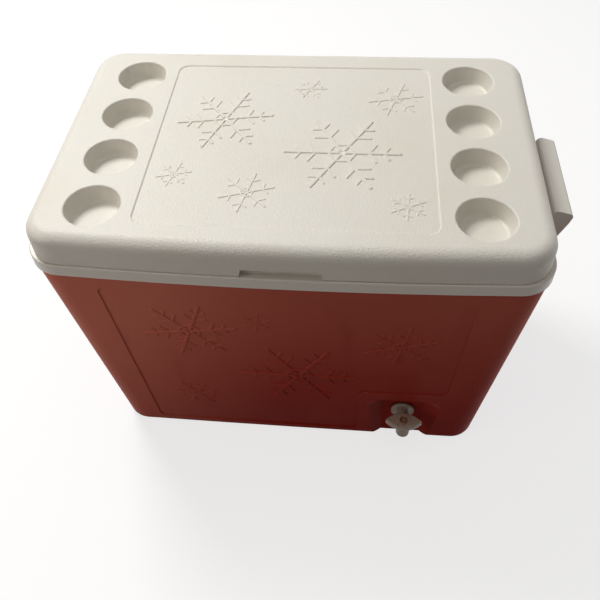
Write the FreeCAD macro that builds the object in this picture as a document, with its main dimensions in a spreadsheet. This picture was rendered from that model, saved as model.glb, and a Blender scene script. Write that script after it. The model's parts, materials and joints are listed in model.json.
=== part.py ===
# Shot chiller chest: an insulated chest with a tap at the front, a drink tank that feeds
# a coil lying in the ice, eight glass wells in the lid and a swing handle at each end.
# Millimetres. The origin lies on the floor under the middle of the chest, +X to the right
# as seen from the tap side, +Y towards the hinges and +Z up.

import FreeCAD
import Part
import math
import os
import re

import Sketcher
from FreeCAD import Vector

document = FreeCAD.newDocument("ShotChiller")
sheet = document.addObject("Spreadsheet::Sheet", "Sizes")
FULL_TURN = 360

# The driving dimensions, which fill the sheet.
sizes = {
    # Outer shell, outside faces
    "chest_height": 383,
    "shell_top_length": 514,
    "shell_top_depth": 327,
    "shell_bottom_length": 455,
    "shell_bottom_depth": 266,
    "shell_top_corner": 34,
    "shell_bottom_corner": 30,
    "front_bow_top": 5.3,
    "front_bow_bottom": 0.8,
    "shell_wall": 3,
    "base_edge_round": 5,
    # Collar where the liner turns over the shell
    "collar_height": 13.5,
    "collar_overhang": 2,
    "collar_round": 1.5,
    "rim_plate": 3,
    "rim_inset": 2.2,
    "rim_wall": 2.5,
    "collar_fit": 0.2,
    # Front panel, sunk into the shell
    "panel_depth": 1.2,
    "panel_top_drop": 18,
    "panel_bottom_level": 12,
    "panel_top_half_length": 190,
    "panel_side_slope": 0.041,
    "panel_corner": 10,
    "tap_bay_left": 79,
    "tap_bay_level": 117,
    # Recess in the shell behind the tap
    "tap_along": 135,
    "recess_sink": 8,
    "recess_half_width": 24.5,
    "recess_top_level": 85,
    "recess_corner": 12,
    "recess_flank_slope": 1.35,
    "recess_roof_slope": 0.83,
    # Inner liner, inside faces
    "cavity_floor": 34,
    "insulated_wall": 31,
    "insulated_end_wall": 33.5,
    "cavity_corner": 25,
    "ledge_drop": 20,
    "ledge_width": 5,
    "liner_wall": 2.5,
    # Lid
    "lid_height": 37.2,
    "lid_step_in": 1.75,
    "lid_end_step_in": 4.75,
    "lid_edge_round": 14,
    "lid_rim_round": 1.2,
    "lid_wall": 2.5,
    "seam_gap": 0.3,
    "lid_panel_end_inset": 106.25,
    "lid_panel_side_inset": 31.25,
    "lid_panel_corner": 13,
    "lid_panel_sink": 1.2,
    "lid_panel_edge_width": 1.5,
    "pan_wall": 2.5,
    "pan_fit": 0.2,
    "plug_depth": 9.5,
    "plug_clearance": 2.5,
    "fitting_middle": -1.8,
    # Glass wells
    "well_mouth_radius": 28,
    "well_floor_radius": 25.5,
    "well_depth": 20,
    "well_wall": 2.5,
    "well_lip_round": 1.8,
    "well_floor_round": 4,
    "well_row_inset": 64.45,
    "well_pitch": 72.85,
    "well_count": 4,
    # Finger notch under the front edge of the lid
    "notch_length": 80,
    "notch_height": 10.5,
    "notch_slant": 2,
    "notch_depth": 6,
    # Hinges
    "hinge_spacing": 300,
    "hinge_length": 50,
    "hinge_plate": 2.5,
    "knuckle_radius": 4,
    "knuckle_middle": 17.4,
    "knuckle_gap": 0.3,
    "hinge_pin_radius": 2,
    "hinge_pin_fit": 0.1,
    "hinge_standoff": 6,
    "hinge_pin_overrun": 1.5,
    "body_leaf_gap": 3,
    "lid_leaf_height": 22,
    "body_leaf_height": 10.2,
    "body_screw_drop": 9.8,
    "lid_screw_rise": 15,
    "hinge_web": 3.5,
    "hinge_bore_cover": 0.5,
    "lid_leaf_gap": 3.5,
    "hinge_screw_spacing": 30,
    "hinge_screw_radius": 1.6,
    "hinge_screw_head": 3.2,
    "hinge_screw_head_height": 2,
    "hinge_screw_length": 11,
    # Swing handles
    "handle_pivot_drop": 44,
    "handle_pivot_out": 10.3,
    "handle_length": 116,
    "handle_reach": 57,
    "handle_grip_width": 21,
    "handle_grip_depth": 12,
    "handle_grip_wall": 3,
    "handle_grip_round": 5,
    "handle_arm": 5,
    "handle_eye_radius": 6,
    "handle_raised_tilt": 15,
    "handle_pin_radius": 3,
    "handle_pin_fit": 0.1,
    "handle_pin_head": 5,
    "handle_pin_head_height": 2,
    "handle_side_gap": 0.3,
    "bracket_height": 32,
    "bracket_plate": 3.8,
    "bracket_ear": 5,
    "bracket_ear_radius": 6.5,
    "bracket_stop_height": 6,
    "bracket_stop_rise": 9,
    "bracket_screw_spacing": 60,
    "bracket_screw_rise": 20,
    "bracket_screw_radius": 2,
    "bracket_screw_head": 4,
    "bracket_screw_head_height": 2.2,
    "bracket_screw_length": 16,
    # Tap through the front wall
    "tap_level": 55,
    "tap_washer": 2,
    "tap_flange": 3,
    "tap_flange_bevel": 1.2,
    "tap_flange_radius": 14.5,
    "tap_barrel_radius": 7,
    "tap_bore_radius": 4,
    "valve_reach": 27.5,
    "valve_radius": 8,
    "valve_above": 11.5,
    "valve_below": 9,
    "spout_radius": 5,
    "spout_drop": 14,
    "spout_round": 1.2,
    "plug_radius": 5.5,
    "plug_fit": 0.05,
    "plug_floor": 2,
    "plug_floor_gap": 0.1,
    "plug_stem_radius": 3.5,
    "plug_bore_radius": 3,
    "o_ring_thickness": 1.6,
    "o_ring_gap": 0.1,
    "knob_length": 44,
    "knob_width": 20,
    "knob_height": 8,
    "knob_wing_height": 6.8,
    "knob_socket_depth": 4.8,
    "knob_hub_radius": 8.5,
    "knob_gap": 0.3,
    "knob_round": 2,
    "knob_tip_round": 1.5,
    "knob_screw_head": 4.5,
    "knob_screw_length": 6.6,
    "shank_radius": 8,
    "shank_fit": 0.1,
    "sleeve_wall": 2,
    "tap_boss_radius": 17,
    "tap_boss_rise": 3,
    "tap_boss_depth": 7.5,
    "tap_inner_washer_radius": 14,
    "lock_nut_height": 6,
    "lock_nut_flats": 27,
    "shank_beyond_nut": 12.5,
    "union_nut_flats": 24,
    "union_nut_overlap": 9,
    "union_nut_end": 3,
    "ferrule_radius": 7,
    "ferrule_length": 5,
    # Chill coil and the core it is wound on
    "coil_tube_radius": 4,
    "coil_tube_wall": 0.8,
    "coil_radius": 48,
    "coil_pitch": 11,
    "coil_turns": 8,
    "coil_middle_back": 5,
    "coil_lead_bend": 200,
    "coil_riser_bend": 12,
    "coil_riser": 16,
    "coil_fit": 0.4,
    "core_wall": 3,
    "core_flange_width": 12.4,
    "core_flange_gap": 0.3,
    "core_window_width": 14,
    "core_window_height": 60,
    "core_window_count": 6,
    # Drink tank hung on the ledge
    "tank_length": 120,
    "tank_end_gap": 16.74,
    "tank_side_gap": 20.7,
    "tank_over_coil": 62,
    "tank_wall": 2.5,
    "tank_corner": 15,
    "tank_flange": 3,
    "tank_flange_lip": 13,
    "tank_flange_fit": 0.5,
    "tank_flange_corner": 32,
    "tank_neck_radius": 27,
    "tank_neck_height": 8,
    "tank_neck_wall": 2.5,
    "tank_cap_radius": 32,
    "tank_cap_wall": 2,
    "tank_cap_height": 10.5,
    "tank_cap_fit": 0.1,
    "tank_gasket": 1.5,
    "tank_gasket_gap": 0.1,
    "tank_vent_radius": 1.5,
    "tank_cap_bar_width": 6,
    "tank_cap_bar_height": 3,
    "outlet_washer": 1.5,
    "outlet_flange": 3,
    "outlet_flange_radius": 13,
    "outlet_shank_radius": 7,
    "outlet_bore_radius": 3,
    "outlet_nut_height": 6,
    "outlet_nut_flats": 22,
    "outlet_barb_drop": 28,
    "hose_wall": 2.4,
    "hose_fit": 0.1,
    "hose_overlap": 9,
    "clamp_width": 6,
    "clamp_wall": 0.8,
    "clamp_lug": 6,
}
for row, (alias, number) in enumerate(sizes.items(), 1):
    sheet.set(f"A{row}", alias)
    sheet.set(f"B{row}", str(number))
    sheet.setAlias(f"B{row}", alias)
document.recompute()


def linked(formula):
    """The formula with each alias written as a cell of the sheet."""
    def cell(match):
        return "Sizes." + match.group() if match.group() in sizes else match.group()
    return re.sub(r"[a-z][a-z_]*", cell, str(formula))


def value(formula):
    """The number that a formula of the sheet's sizes gives."""
    result = sheet.evalExpression(linked(formula))
    return float(getattr(result, "Value", result))


def bind(item, prop, formula):
    """Tie a property of an object to a formula of the sheet's sizes."""
    item.setExpression(prop, linked(formula))


# Sketches

def origin_item(body, role):
    """The origin plane or axis of a body that has this role."""
    for feature in body.Origin.OriginFeatures:
        if feature.Role == role:
            return feature
    raise ValueError(role)


def new_sketch(body, name, plane="XY_Plane", across="0", up="0", out="0"):
    """A sketch on an origin plane of its body, moved by formulas in the plane's own axes."""
    sketch = body.newObject("Sketcher::SketchObject", name)
    sketch.AttachmentSupport = [(origin_item(body, plane), "")]
    sketch.MapMode = "FlatFace"
    bind(sketch, "AttachmentOffset.Base.x", across)
    bind(sketch, "AttachmentOffset.Base.y", up)
    bind(sketch, "AttachmentOffset.Base.z", out)
    return sketch


def constrain(sketch, kind, *where_and_formula):
    """Add a dimension to a sketch and tie it to a formula."""
    where = where_and_formula[:-1]
    formula = where_and_formula[-1]
    index = sketch.addConstraint(Sketcher.Constraint(kind, *where, value(formula)))
    name = f"{kind}_{index}"
    sketch.renameConstraint(index, name)
    bind(sketch, f"Constraints.{name}", formula)


def constrain_point(sketch, geometry, end, across, up):
    """Fix one end of a piece of geometry by its two distances from the sketch's origin."""
    constrain(sketch, "DistanceX", -1, 1, geometry, end, across)
    constrain(sketch, "DistanceY", -1, 1, geometry, end, up)


def draw_circle(sketch, radius, across="0", up="0"):
    """A circle, with its middle given from the sketch's origin."""
    middle = Vector(value(across), value(up), 0)
    circle = sketch.addGeometry(Part.Circle(middle, Vector(0, 0, 1), value(radius)), False)
    constrain(sketch, "Radius", circle, radius)
    constrain_point(sketch, circle, 3, across, up)


def draw_profile(sketch, points):
    """A closed outline of straight lines through points that are pairs of formulas."""
    first = sketch.GeometryCount
    corners = [Vector(value(across), value(up), 0) for across, up in points]
    count = len(points)
    for index in range(count):
        line = Part.LineSegment(corners[index], corners[(index + 1) % count])
        sketch.addGeometry(line, False)
    for index in range(count):
        following = (index + 1) % count
        sketch.addConstraint(Sketcher.Constraint("Coincident", first + index, 2, first + following, 1))
        constrain_point(sketch, first + index, 1, *points[index])


def draw_rectangle(sketch, left, right, bottom, top):
    """An upright rectangle between four formulas."""
    draw_profile(sketch, [(left, bottom), (right, bottom), (right, top), (left, top)])


def draw_hexagon(sketch, flats):
    """A hexagon round the sketch's origin, by its size across the flats."""
    corners = []
    for index in range(6):
        corners.append((f"{flats} / sqrt(3) * cos({60 * index})", f"{flats} / sqrt(3) * sin({60 * index})"))
    draw_profile(sketch, corners)


def join_smoothly(sketch, first, count):
    """Close a ring of pieces of geometry whose ends meet tangentially."""
    for index in range(count):
        following = first + (index + 1) % count
        sketch.addConstraint(Sketcher.Constraint("Tangent", first + index, 2, following, 1))


def arc_of(middle, radius, start, end):
    """A circle's arc between two angles in radians."""
    return Part.ArcOfCircle(Part.Circle(middle, Vector(0, 0, 1), radius), start, end)


def draw_outline(sketch, plan):
    """The plan of the chest: straight ends and back, a bowed front and round corners."""
    first = sketch.GeometryCount
    side = value(plan["side"])
    back = value(plan["back"])
    corner = value(plan["corner"])
    bow = value(plan["bow_radius"])
    bow_middle = Vector(0, bow - back, 0)
    corner_side = side - corner
    corner_front = bow_middle.y - math.sqrt((bow - corner) ** 2 - corner_side ** 2)
    lean = math.atan2(corner_front - bow_middle.y, corner_side)
    quarter = math.pi / 2
    pieces = [
        arc_of(bow_middle, bow, -math.pi - lean, lean),
        arc_of(Vector(corner_side, corner_front, 0), corner, lean, 0),
        Part.LineSegment(Vector(side, corner_front, 0), Vector(side, back - corner, 0)),
        arc_of(Vector(corner_side, back - corner, 0), corner, 0, quarter),
        Part.LineSegment(Vector(corner_side, back, 0), Vector(-corner_side, back, 0)),
        arc_of(Vector(-corner_side, back - corner, 0), corner, quarter, 2 * quarter),
        Part.LineSegment(Vector(-side, back - corner, 0), Vector(-side, corner_front, 0)),
        arc_of(Vector(-corner_side, corner_front, 0), corner, math.pi, math.pi - lean),
    ]
    for piece in pieces:
        sketch.addGeometry(piece, False)
    join_smoothly(sketch, first, len(pieces))
    for index in (2, 6):
        sketch.addConstraint(Sketcher.Constraint("Vertical", first + index))
    sketch.addConstraint(Sketcher.Constraint("Horizontal", first + 4))
    for index in (3, 5, 7):
        sketch.addConstraint(Sketcher.Constraint("Equal", first + 1, first + index))
    constrain(sketch, "Radius", first + 1, plan["corner"])
    constrain(sketch, "Radius", first, plan["bow_radius"])
    sketch.addConstraint(Sketcher.Constraint("PointOnObject", first, 3, -2))
    constrain(sketch, "DistanceY", -1, 1, first, 3, f"{plan['bow_radius']} - ({plan['back']})")
    constrain(sketch, "DistanceX", -1, 1, first + 2, 1, plan["side"])
    constrain(sketch, "DistanceX", -1, 1, first + 6, 1, f"-({plan['side']})")
    constrain(sketch, "DistanceY", -1, 1, first + 4, 1, plan["back"])


def draw_rounded_rectangle(sketch, left, right, bottom, top, corner):
    """A rectangle between four formulas, with round corners."""
    first = sketch.GeometryCount
    low_x, high_x = value(left), value(right)
    low_y, high_y = value(bottom), value(top)
    radius = value(corner)
    quarter = math.pi / 2
    corners = [
        (Vector(high_x - radius, low_y + radius, 0), -quarter),
        (Vector(high_x - radius, high_y - radius, 0), 0),
        (Vector(low_x + radius, high_y - radius, 0), quarter),
        (Vector(low_x + radius, low_y + radius, 0), 2 * quarter),
    ]
    for index, (middle, start) in enumerate(corners):
        arc = arc_of(middle, radius, start, start + quarter)
        following, turn = corners[(index + 1) % 4]
        onward = following + Vector(radius * math.cos(turn), radius * math.sin(turn), 0)
        sketch.addGeometry(arc, False)
        sketch.addGeometry(Part.LineSegment(arc.EndPoint, onward), False)
    join_smoothly(sketch, first, 8)
    for index in (1, 5):
        sketch.addConstraint(Sketcher.Constraint("Vertical", first + index))
    for index in (3, 7):
        sketch.addConstraint(Sketcher.Constraint("Horizontal", first + index))
    for index in (2, 4, 6):
        sketch.addConstraint(Sketcher.Constraint("Equal", first, first + index))
    constrain(sketch, "Radius", first, corner)
    constrain(sketch, "DistanceX", -1, 1, first + 1, 1, right)
    constrain(sketch, "DistanceX", -1, 1, first + 5, 1, left)
    constrain(sketch, "DistanceY", -1, 1, first + 3, 1, top)
    constrain(sketch, "DistanceY", -1, 1, first + 7, 1, bottom)


# Solid features

def new_body(name):
    """A body that will hold one piece or one tool."""
    body = document.addObject("PartDesign::Body", name)
    body.Label = name
    return body


def pad(body, sketch, length, midplane=False, reverse=False):
    """Add the sketch's area, carried along its normal."""
    feature = body.newObject("PartDesign::Pad", sketch.Name + "_pad")
    feature.Profile = sketch
    feature.Midplane = midplane
    feature.Reversed = reverse
    bind(feature, "Length", length)
    document.recompute()
    return feature


def pocket(body, sketch, length, reverse=False, midplane=False):
    """Remove the sketch's area, carried along its normal or, reversed, against it."""
    before = body.Shape.Volume
    feature = body.newObject("PartDesign::Pocket", sketch.Name + "_pocket")
    feature.Profile = sketch
    feature.Midplane = midplane
    feature.Reversed = not reverse
    bind(feature, "Length", length)
    document.recompute()
    if body.Shape.Volume >= before:
        raise ValueError(f"{feature.Name} cuts nothing")
    return feature


def loft(body, kind, sketches):
    """Join two sketches with ruled faces, to add or to subtract."""
    feature = body.newObject(f"PartDesign::{kind}Loft", sketches[0].Name + "_loft")
    feature.Profile = sketches[0]
    feature.Sections = sketches[1:]
    feature.Ruled = True
    document.recompute()
    return feature


def revolve(body, sketch):
    """Turn the sketch's area all the way round its upright axis."""
    feature = body.newObject("PartDesign::Revolution", sketch.Name + "_turned")
    feature.Profile = sketch
    feature.ReferenceAxis = (sketch, ["V_Axis"])
    feature.Angle = FULL_TURN
    document.recompute()
    return feature


def round_edges(body, chosen, radius):
    """Fillet the edges of the body's last feature that the chosen test accepts."""
    base = body.Tip
    names = []
    for number, edge in enumerate(base.Shape.Edges, start=1):
        if chosen(edge):
            names.append(f"Edge{number}")
    feature = body.newObject("PartDesign::Fillet", base.Name + "_round")
    feature.Base = (base, names)
    bind(feature, "Radius", radius)
    document.recompute()
    return feature


def spread(body, feature, rows):
    """Repeat a feature along origin axes: each row has an axis, a step and a count."""
    shared = body.newObject("PartDesign::MultiTransform", feature.Name + "_spread")
    shared.Originals = [feature]
    patterns = []
    for axis, step, count in rows:
        row = body.newObject("PartDesign::LinearPattern", f"{feature.Name}_along_{axis[0]}")
        row.Direction = (origin_item(body, axis), [""])
        row.Mode = "Spacing"
        bind(row, "Offset", step)
        bind(row, "Occurrences", count)
        patterns.append(row)
    shared.Transformations = patterns
    body.Tip = shared
    document.recompute()
    return shared


def at_level(level):
    """A test for edges that lie wholly at one height."""
    height = value(level)

    def lies_there(edge):
        box = edge.BoundBox
        return abs(box.ZMin - height) < 0.01 and abs(box.ZMax - height) < 0.01
    return lies_there


def place(item, across="0", back="0", up="0", axis=None, angle="0"):
    """Set an object's placement: a turn about an axis, then a move by formulas."""
    item.Placement = FreeCAD.Placement(Vector(), FreeCAD.Rotation(axis or Vector(0, 0, 1), value(angle)))
    bind(item, "Placement.Base.x", across)
    bind(item, "Placement.Base.y", back)
    bind(item, "Placement.Base.z", up)
    if angle != "0":
        bind(item, "Placement.Rotation.Angle", angle)


ABOUT_X = Vector(1, 0, 0)
ABOUT_Y = Vector(0, 1, 0)
SHORTEST_LONG_EDGE = 1


def turned(name, points, across="0", back="0", up="0", axis=None, angle="0"):
    """A turned piece: its profile is pairs of radius and height above its own origin."""
    body = new_body(name)
    sketch = new_sketch(body, name + "_profile", "XZ_Plane")
    draw_profile(sketch, points)
    revolve(body, sketch)
    place(body, across, back, up, axis, angle)
    return body


def cylinder(name, radius, length, across="0", back="0", up="0", axis=None, angle="0"):
    """A plain cylinder that stands on its own origin."""
    item = document.addObject("Part::Cylinder", name)
    bind(item, "Radius", radius)
    bind(item, "Height", length)
    place(item, across, back, up, axis, angle)
    return item


def box(name, left, right, front, back, bottom, top):
    """A box between six formulas."""
    item = document.addObject("Part::Box", name)
    bind(item, "Length", f"({right}) - ({left})")
    bind(item, "Width", f"({back}) - ({front})")
    bind(item, "Height", f"({top}) - ({bottom})")
    place(item, left, front, bottom)
    return item


def fuse(name, pieces):
    """One solid made of several that meet."""
    item = document.addObject("Part::MultiFuse", name)
    item.Shapes = pieces
    document.recompute()
    return item


def group(name, pieces):
    """Separate solids kept together in one node."""
    item = document.addObject("Part::Compound", name)
    item.Links = pieces
    document.recompute()
    return item


def cut(name, base, tools):
    """The base with every tool's room taken out of it."""
    item = document.addObject("Part::Cut", name)
    item.Base = base
    item.Tool = tools[0] if len(tools) == 1 else fuse(name + "_tools", tools)
    document.recompute()
    if item.Shape.Volume >= base.Shape.Volume:
        raise ValueError(f"{name} isn't cut")
    return item


# Levels and faces that several pieces share, and how far a cutting tool runs past a face

OVERRUN = "1"
LID_BOTTOM = "(chest_height - lid_height)"
SEAM = f"({LID_BOTTOM} - seam_gap)"
SHOULDER = f"({SEAM} - collar_height)"
RIM_UNDERSIDE = f"({SEAM} - rim_plate)"
LEDGE = f"({SHOULDER} - ledge_drop)"
PANEL_TOP = f"({SHOULDER} - panel_top_drop)"
PIVOT_LEVEL = f"({SHOULDER} - handle_pivot_drop)"
LID_INNER_TOP = "(chest_height - lid_wall)"
PAN_TOP = f"({LID_BOTTOM} + pan_wall)"
BACK_OF_COLLAR = "(shell_top_depth / 2 + collar_overhang)"
BACK_OF_LID = f"({BACK_OF_COLLAR} - lid_step_in)"
END_OF_LID = "(shell_top_length / 2 + collar_overhang - lid_end_step_in)"
RECESS_BACK = "(shell_bottom_depth / 2 - recess_sink)"


def between(low, high, level):
    """A size of the tapering shell at a level between its floor and its shoulder."""
    return f"({low} + ({high} - {low}) * ({level}) / {SHOULDER})"


def shell_side_at(level):
    """Where the shell's end face stands at a level."""
    return between("shell_bottom_length / 2", "shell_top_length / 2", level)


def shell_back_at(level):
    """Where the shell's back face stands at a level."""
    return between("shell_bottom_depth / 2", "shell_top_depth / 2", level)


def plan_of(side, back, corner, bow, inset):
    """The formulas of one plan outline, drawn in by the inset all round."""
    bow_radius = f"((({side} - {corner})^2 + {bow}^2) / (2 * {bow}))"
    return {
        "side": f"({side} - ({inset}))",
        "back": f"({back} - ({inset}))",
        "corner": f"({corner} - ({inset}))",
        "bow_radius": f"({bow_radius} - ({inset}))",
    }


def shell_plan(level, inset="0"):
    """The shell's outline at a level."""
    corner = between("shell_bottom_corner", "shell_top_corner", level)
    bow = between("front_bow_bottom", "front_bow_top", level)
    return plan_of(shell_side_at(level), shell_back_at(level), corner, bow, inset)


def lid_plan(inset="0"):
    """The lid's outline, which steps in from the collar's."""
    return plan_of(END_OF_LID, BACK_OF_LID, "(shell_top_corner + collar_overhang - lid_step_in)",
                   "front_bow_top", inset)


ROUND_STEPS = 4


def shell_block(name, bottom, inset, edge_round):
    """The tapering block between a level and the shoulder, drawn in by the inset."""
    body = new_body(name)
    sections = []
    for step in range(ROUND_STEPS + 1):
        angle = 90 * step / ROUND_STEPS
        level = f"({bottom} + ({edge_round}) * (1 - cos({angle})))"
        sketch = new_sketch(body, f"{name}_edge_{step}", out=level)
        draw_outline(sketch, shell_plan(level, f"{inset} + ({edge_round}) * (1 - sin({angle}))"))
        sections.append(sketch)
    top = new_sketch(body, name + "_shoulder", out=SHOULDER)
    draw_outline(top, shell_plan(SHOULDER, inset))
    loft(body, "Additive", sections + [top])
    return body


def rim_block(name, inset):
    """The straight block of the shell's rim, from the shoulder up to the rim plate."""
    body = new_body(name)
    sketch = new_sketch(body, name + "_outline", out=SHOULDER)
    draw_outline(sketch, shell_plan(SHOULDER, inset))
    pad(body, sketch, f"{RIM_UNDERSIDE} - {SHOULDER}")
    return body


def recess_block(name, growth):
    """The room of the recess behind the tap, or that room grown to the wall round it."""
    body = new_body(name)
    reach = f"(shell_top_depth / 2 - {RECESS_BACK} + {OVERRUN})"
    for depth, part in (("0", "back"), (reach, "front")):
        out = f"{RECESS_BACK} - ({growth}) + {depth}"
        half = f"recess_half_width + ({growth}) + recess_flank_slope * {depth}"
        roof = f"recess_top_level + ({growth}) + recess_roof_slope * {depth}"
        corner = f"recess_corner + ({growth}) + {depth} / 2"
        sketch = new_sketch(body, f"{name}_{part}", "XZ_Plane", across="tap_along", out=out)
        draw_rounded_rectangle(sketch, f"-({half})", half, f"-({half})", roof, corner)
    loft(body, "Additive", [item for item in body.Group if item.TypeId.startswith("Sketcher")])
    return body


def panel_block():
    """The thin room of the front panel: its outline, carried in by one depth all over."""
    outline = new_body("panel_outline")
    sketch = new_sketch(outline, "panel_edge", "XZ_Plane", out=RECESS_BACK)
    low_half = f"(panel_top_half_length - panel_side_slope * ({PANEL_TOP} - panel_bottom_level))"
    bay_right = f"(panel_top_half_length - panel_side_slope * ({PANEL_TOP} - tap_bay_level))"
    draw_profile(sketch, [
        (f"-{low_half}", "panel_bottom_level"),
        ("tap_bay_left", "panel_bottom_level"),
        ("tap_bay_left", "tap_bay_level"),
        (bay_right, "tap_bay_level"),
        ("panel_top_half_length", PANEL_TOP),
        ("-panel_top_half_length", PANEL_TOP),
    ])
    pad(outline, sketch, "shell_top_depth / 2")

    def runs_out(edge):
        return edge.BoundBox.YLength > SHORTEST_LONG_EDGE
    round_edges(outline, runs_out, "panel_corner")
    floor = shell_block("panel_floor", "0", "panel_depth", "base_edge_round - panel_depth")
    return cut("panel_room", outline, [floor])


# Pieces of the body

def outer_shell(outside, holes):
    """Tapering moulded shell with its stepped rim, sunk front panel and tap recess."""
    rim = rim_block("shell_rim", "rim_inset")
    inside = shell_block("shell_inside", "shell_wall", "shell_wall", "base_edge_round - shell_wall")
    rim_inside = rim_block("shell_rim_inside", "rim_inset + rim_wall")
    recess = recess_block("recess_room", "0")
    recess_wall = recess_block("recess_wall", "shell_wall")
    blank = fuse("shell_blank", [outside, rim])
    room = cut("foam_room", fuse("shell_room", [inside, rim_inside]), [recess_wall])
    walls = cut("shell_walls", blank, [room, recess])
    return cut("outer_shell", walls, [panel_block()] + holes), room


def cavity_side_at(level):
    """Where the end wall of the tub stands at a level."""
    return f"({shell_side_at(level)} - insulated_end_wall)"


def cavity_back_at(level):
    """Where the back wall of the tub stands at a level."""
    return f"({shell_back_at(level)} - insulated_wall)"


def cavity_plan(level, grown):
    """The edges of the lower cavity at a level, grown outwards."""
    half = f"({cavity_side_at(level)} + ({grown}))"
    deep = f"({cavity_back_at(level)} + ({grown}))"
    return [f"-{half}", half, f"-{deep}", deep, f"cavity_corner + ({grown})"]


def ledge_plan(grown):
    """The edges of the straight room above the ledge, grown outwards."""
    half = f"({cavity_side_at(LEDGE)} + ledge_width + ({grown}))"
    deep = f"({cavity_back_at(LEDGE)} + ledge_width + ({grown}))"
    return [f"-{half}", half, f"-{deep}", deep, f"cavity_corner + ledge_width + ({grown})"]


def tub_blocks(body, kind, grown):
    """The lower and upper rooms of the liner, added or cut, grown outwards."""
    bottom = f"(cavity_floor - ({grown}))"
    low = new_sketch(body, f"{body.Name}_{kind}_floor", out=bottom)
    draw_rounded_rectangle(low, *cavity_plan(bottom, grown))
    high = new_sketch(body, f"{body.Name}_{kind}_ledge", out=LEDGE)
    draw_rounded_rectangle(high, *cavity_plan(LEDGE, grown))
    loft(body, kind, [low, high])
    upper = new_sketch(body, f"{body.Name}_{kind}_upper", out=f"{LEDGE} - ({grown})")
    draw_rounded_rectangle(upper, *ledge_plan(grown))
    length = f"{SEAM} - {LEDGE} + ({grown})"
    if kind == "Additive":
        pad(body, upper, length)
    else:
        pocket(body, upper, length)


def inner_liner(boss, holes):
    """White liner: deep tub, tray ledge, and a rim that turns over the shell as a collar."""
    body = new_body("liner_moulding")
    tub_blocks(body, "Additive", "liner_wall")
    skirt = new_sketch(body, "collar_skirt", out=SHOULDER)
    draw_outline(skirt, shell_plan(SHOULDER, "-collar_overhang"))
    draw_outline(skirt, shell_plan(SHOULDER, "rim_inset - collar_fit"))
    pad(body, skirt, f"{RIM_UNDERSIDE} - {SHOULDER}")
    plate = new_sketch(body, "collar_plate", out=RIM_UNDERSIDE)
    draw_outline(plate, shell_plan(SHOULDER, "-collar_overhang"))
    pad(body, plate, "rim_plate")
    round_edges(body, at_level(SEAM), "collar_round")
    tub_blocks(body, "Subtractive", "0")
    return cut("inner_liner", fuse("liner_with_boss", [body, boss]), holes)


def body_foam(room, boss, holes):
    """Foam between the shell and the liner."""
    tub = new_body("tub_outside")
    tub_blocks(tub, "Additive", "liner_wall")
    return cut("body_foam", room, [tub, boss] + holes)


# Fasteners, each modelled with its head above its own origin and its shank below it

HEAD_EDGE_SHARE = 0.6
HEAD_FLAT_SHARE = 0.7


def screw(name, radius, length, head, head_height, **where):
    """A pan head screw; the shank is plain where its thread holds."""
    return turned(name, [
        ("0", f"-{length}"),
        (radius, f"-{length} + {radius}"),
        (radius, "0"),
        (head, "0"),
        (head, f"{head_height} * {HEAD_EDGE_SHARE}"),
        (f"{head} * {HEAD_FLAT_SHARE}", head_height),
        ("0", head_height),
    ], **where)


HINGE_BACK = f"({BACK_OF_COLLAR} + hinge_standoff)"
ENDS = {"right": 1, "left": -1}


def hinge_screws(name, seat, level):
    """Two screws in each hinge, their heads to the back."""
    body = screw(name, "hinge_screw_radius", "hinge_screw_length",
                 "hinge_screw_head", "hinge_screw_head_height",
                 across="-hinge_spacing / 2 - hinge_screw_spacing / 2",
                 back=seat, up=level, axis=ABOUT_X, angle="-90")
    spread(body, body.Tip, [("X_Axis", "hinge_screw_spacing", "2"), ("X_Axis", "hinge_spacing", "2")])
    return body


def bracket_face(sign):
    """Where the flat outer face of a handle bracket stands."""
    return f"{sign} * ({shell_side_at(PIVOT_LEVEL)} + bracket_plate)"


def bracket_screws(end):
    """Four screws through a handle bracket, their heads outwards."""
    sign = ENDS[end]
    body = screw(f"bracket_screws_{end}", "bracket_screw_radius", "bracket_screw_length",
                 "bracket_screw_head", "bracket_screw_head_height",
                 across=bracket_face(sign),
                 back="fitting_middle - bracket_screw_spacing / 2",
                 up=f"{PIVOT_LEVEL} + {sign} * bracket_screw_rise / 2",
                 axis=ABOUT_Y, angle=str(90 * sign))
    rows = [("Y_Axis", "bracket_screw_spacing", "2"), ("X_Axis", "bracket_screw_rise", "2")]
    spread(body, body.Tip, rows)
    return body


# Hinges

def hinge_leaf(name, side, face, seat, edge, far, knuckles, bore, holes):
    """A hinge leaf: a plate on its wall, its knuckles on the axis and webs between them."""
    middle = f"({side} * hinge_spacing / 2)"
    left, right = f"{middle} - hinge_length / 2", f"{middle} + hinge_length / 2"
    pieces = [box(name + "_plate", left, right, face, f"{face} + hinge_plate",
                  *sorted_levels(edge, far))]
    for number, (start, end) in enumerate(knuckles):
        begin, stop = f"{middle} + {start}", f"{middle} + {end}"
        pieces.append(box(f"{name}_web_{number}", begin, stop, face, HINGE_BACK, *seat))
        pieces.append(cylinder(f"{name}_knuckle_{number}", "knuckle_radius", f"{end} - ({start})",
                               begin, HINGE_BACK, SEAM, ABOUT_Y, "90"))
    pin_room = cylinder(name + "_bore", bore, "2 * hinge_length",
                        f"{middle} - hinge_length", HINGE_BACK, SEAM, ABOUT_Y, "90")
    return cut(name, fuse(name + "_blank", pieces), [pin_room] + holes)


def sorted_levels(first, second):
    """Two levels, the lower one first."""
    return (first, second) if value(first) < value(second) else (second, first)


WEB_NEAR = "(hinge_pin_radius + hinge_bore_cover)"
HALF_HINGE = "hinge_length / 2"
HALF_MIDDLE = "knuckle_middle / 2"


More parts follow.
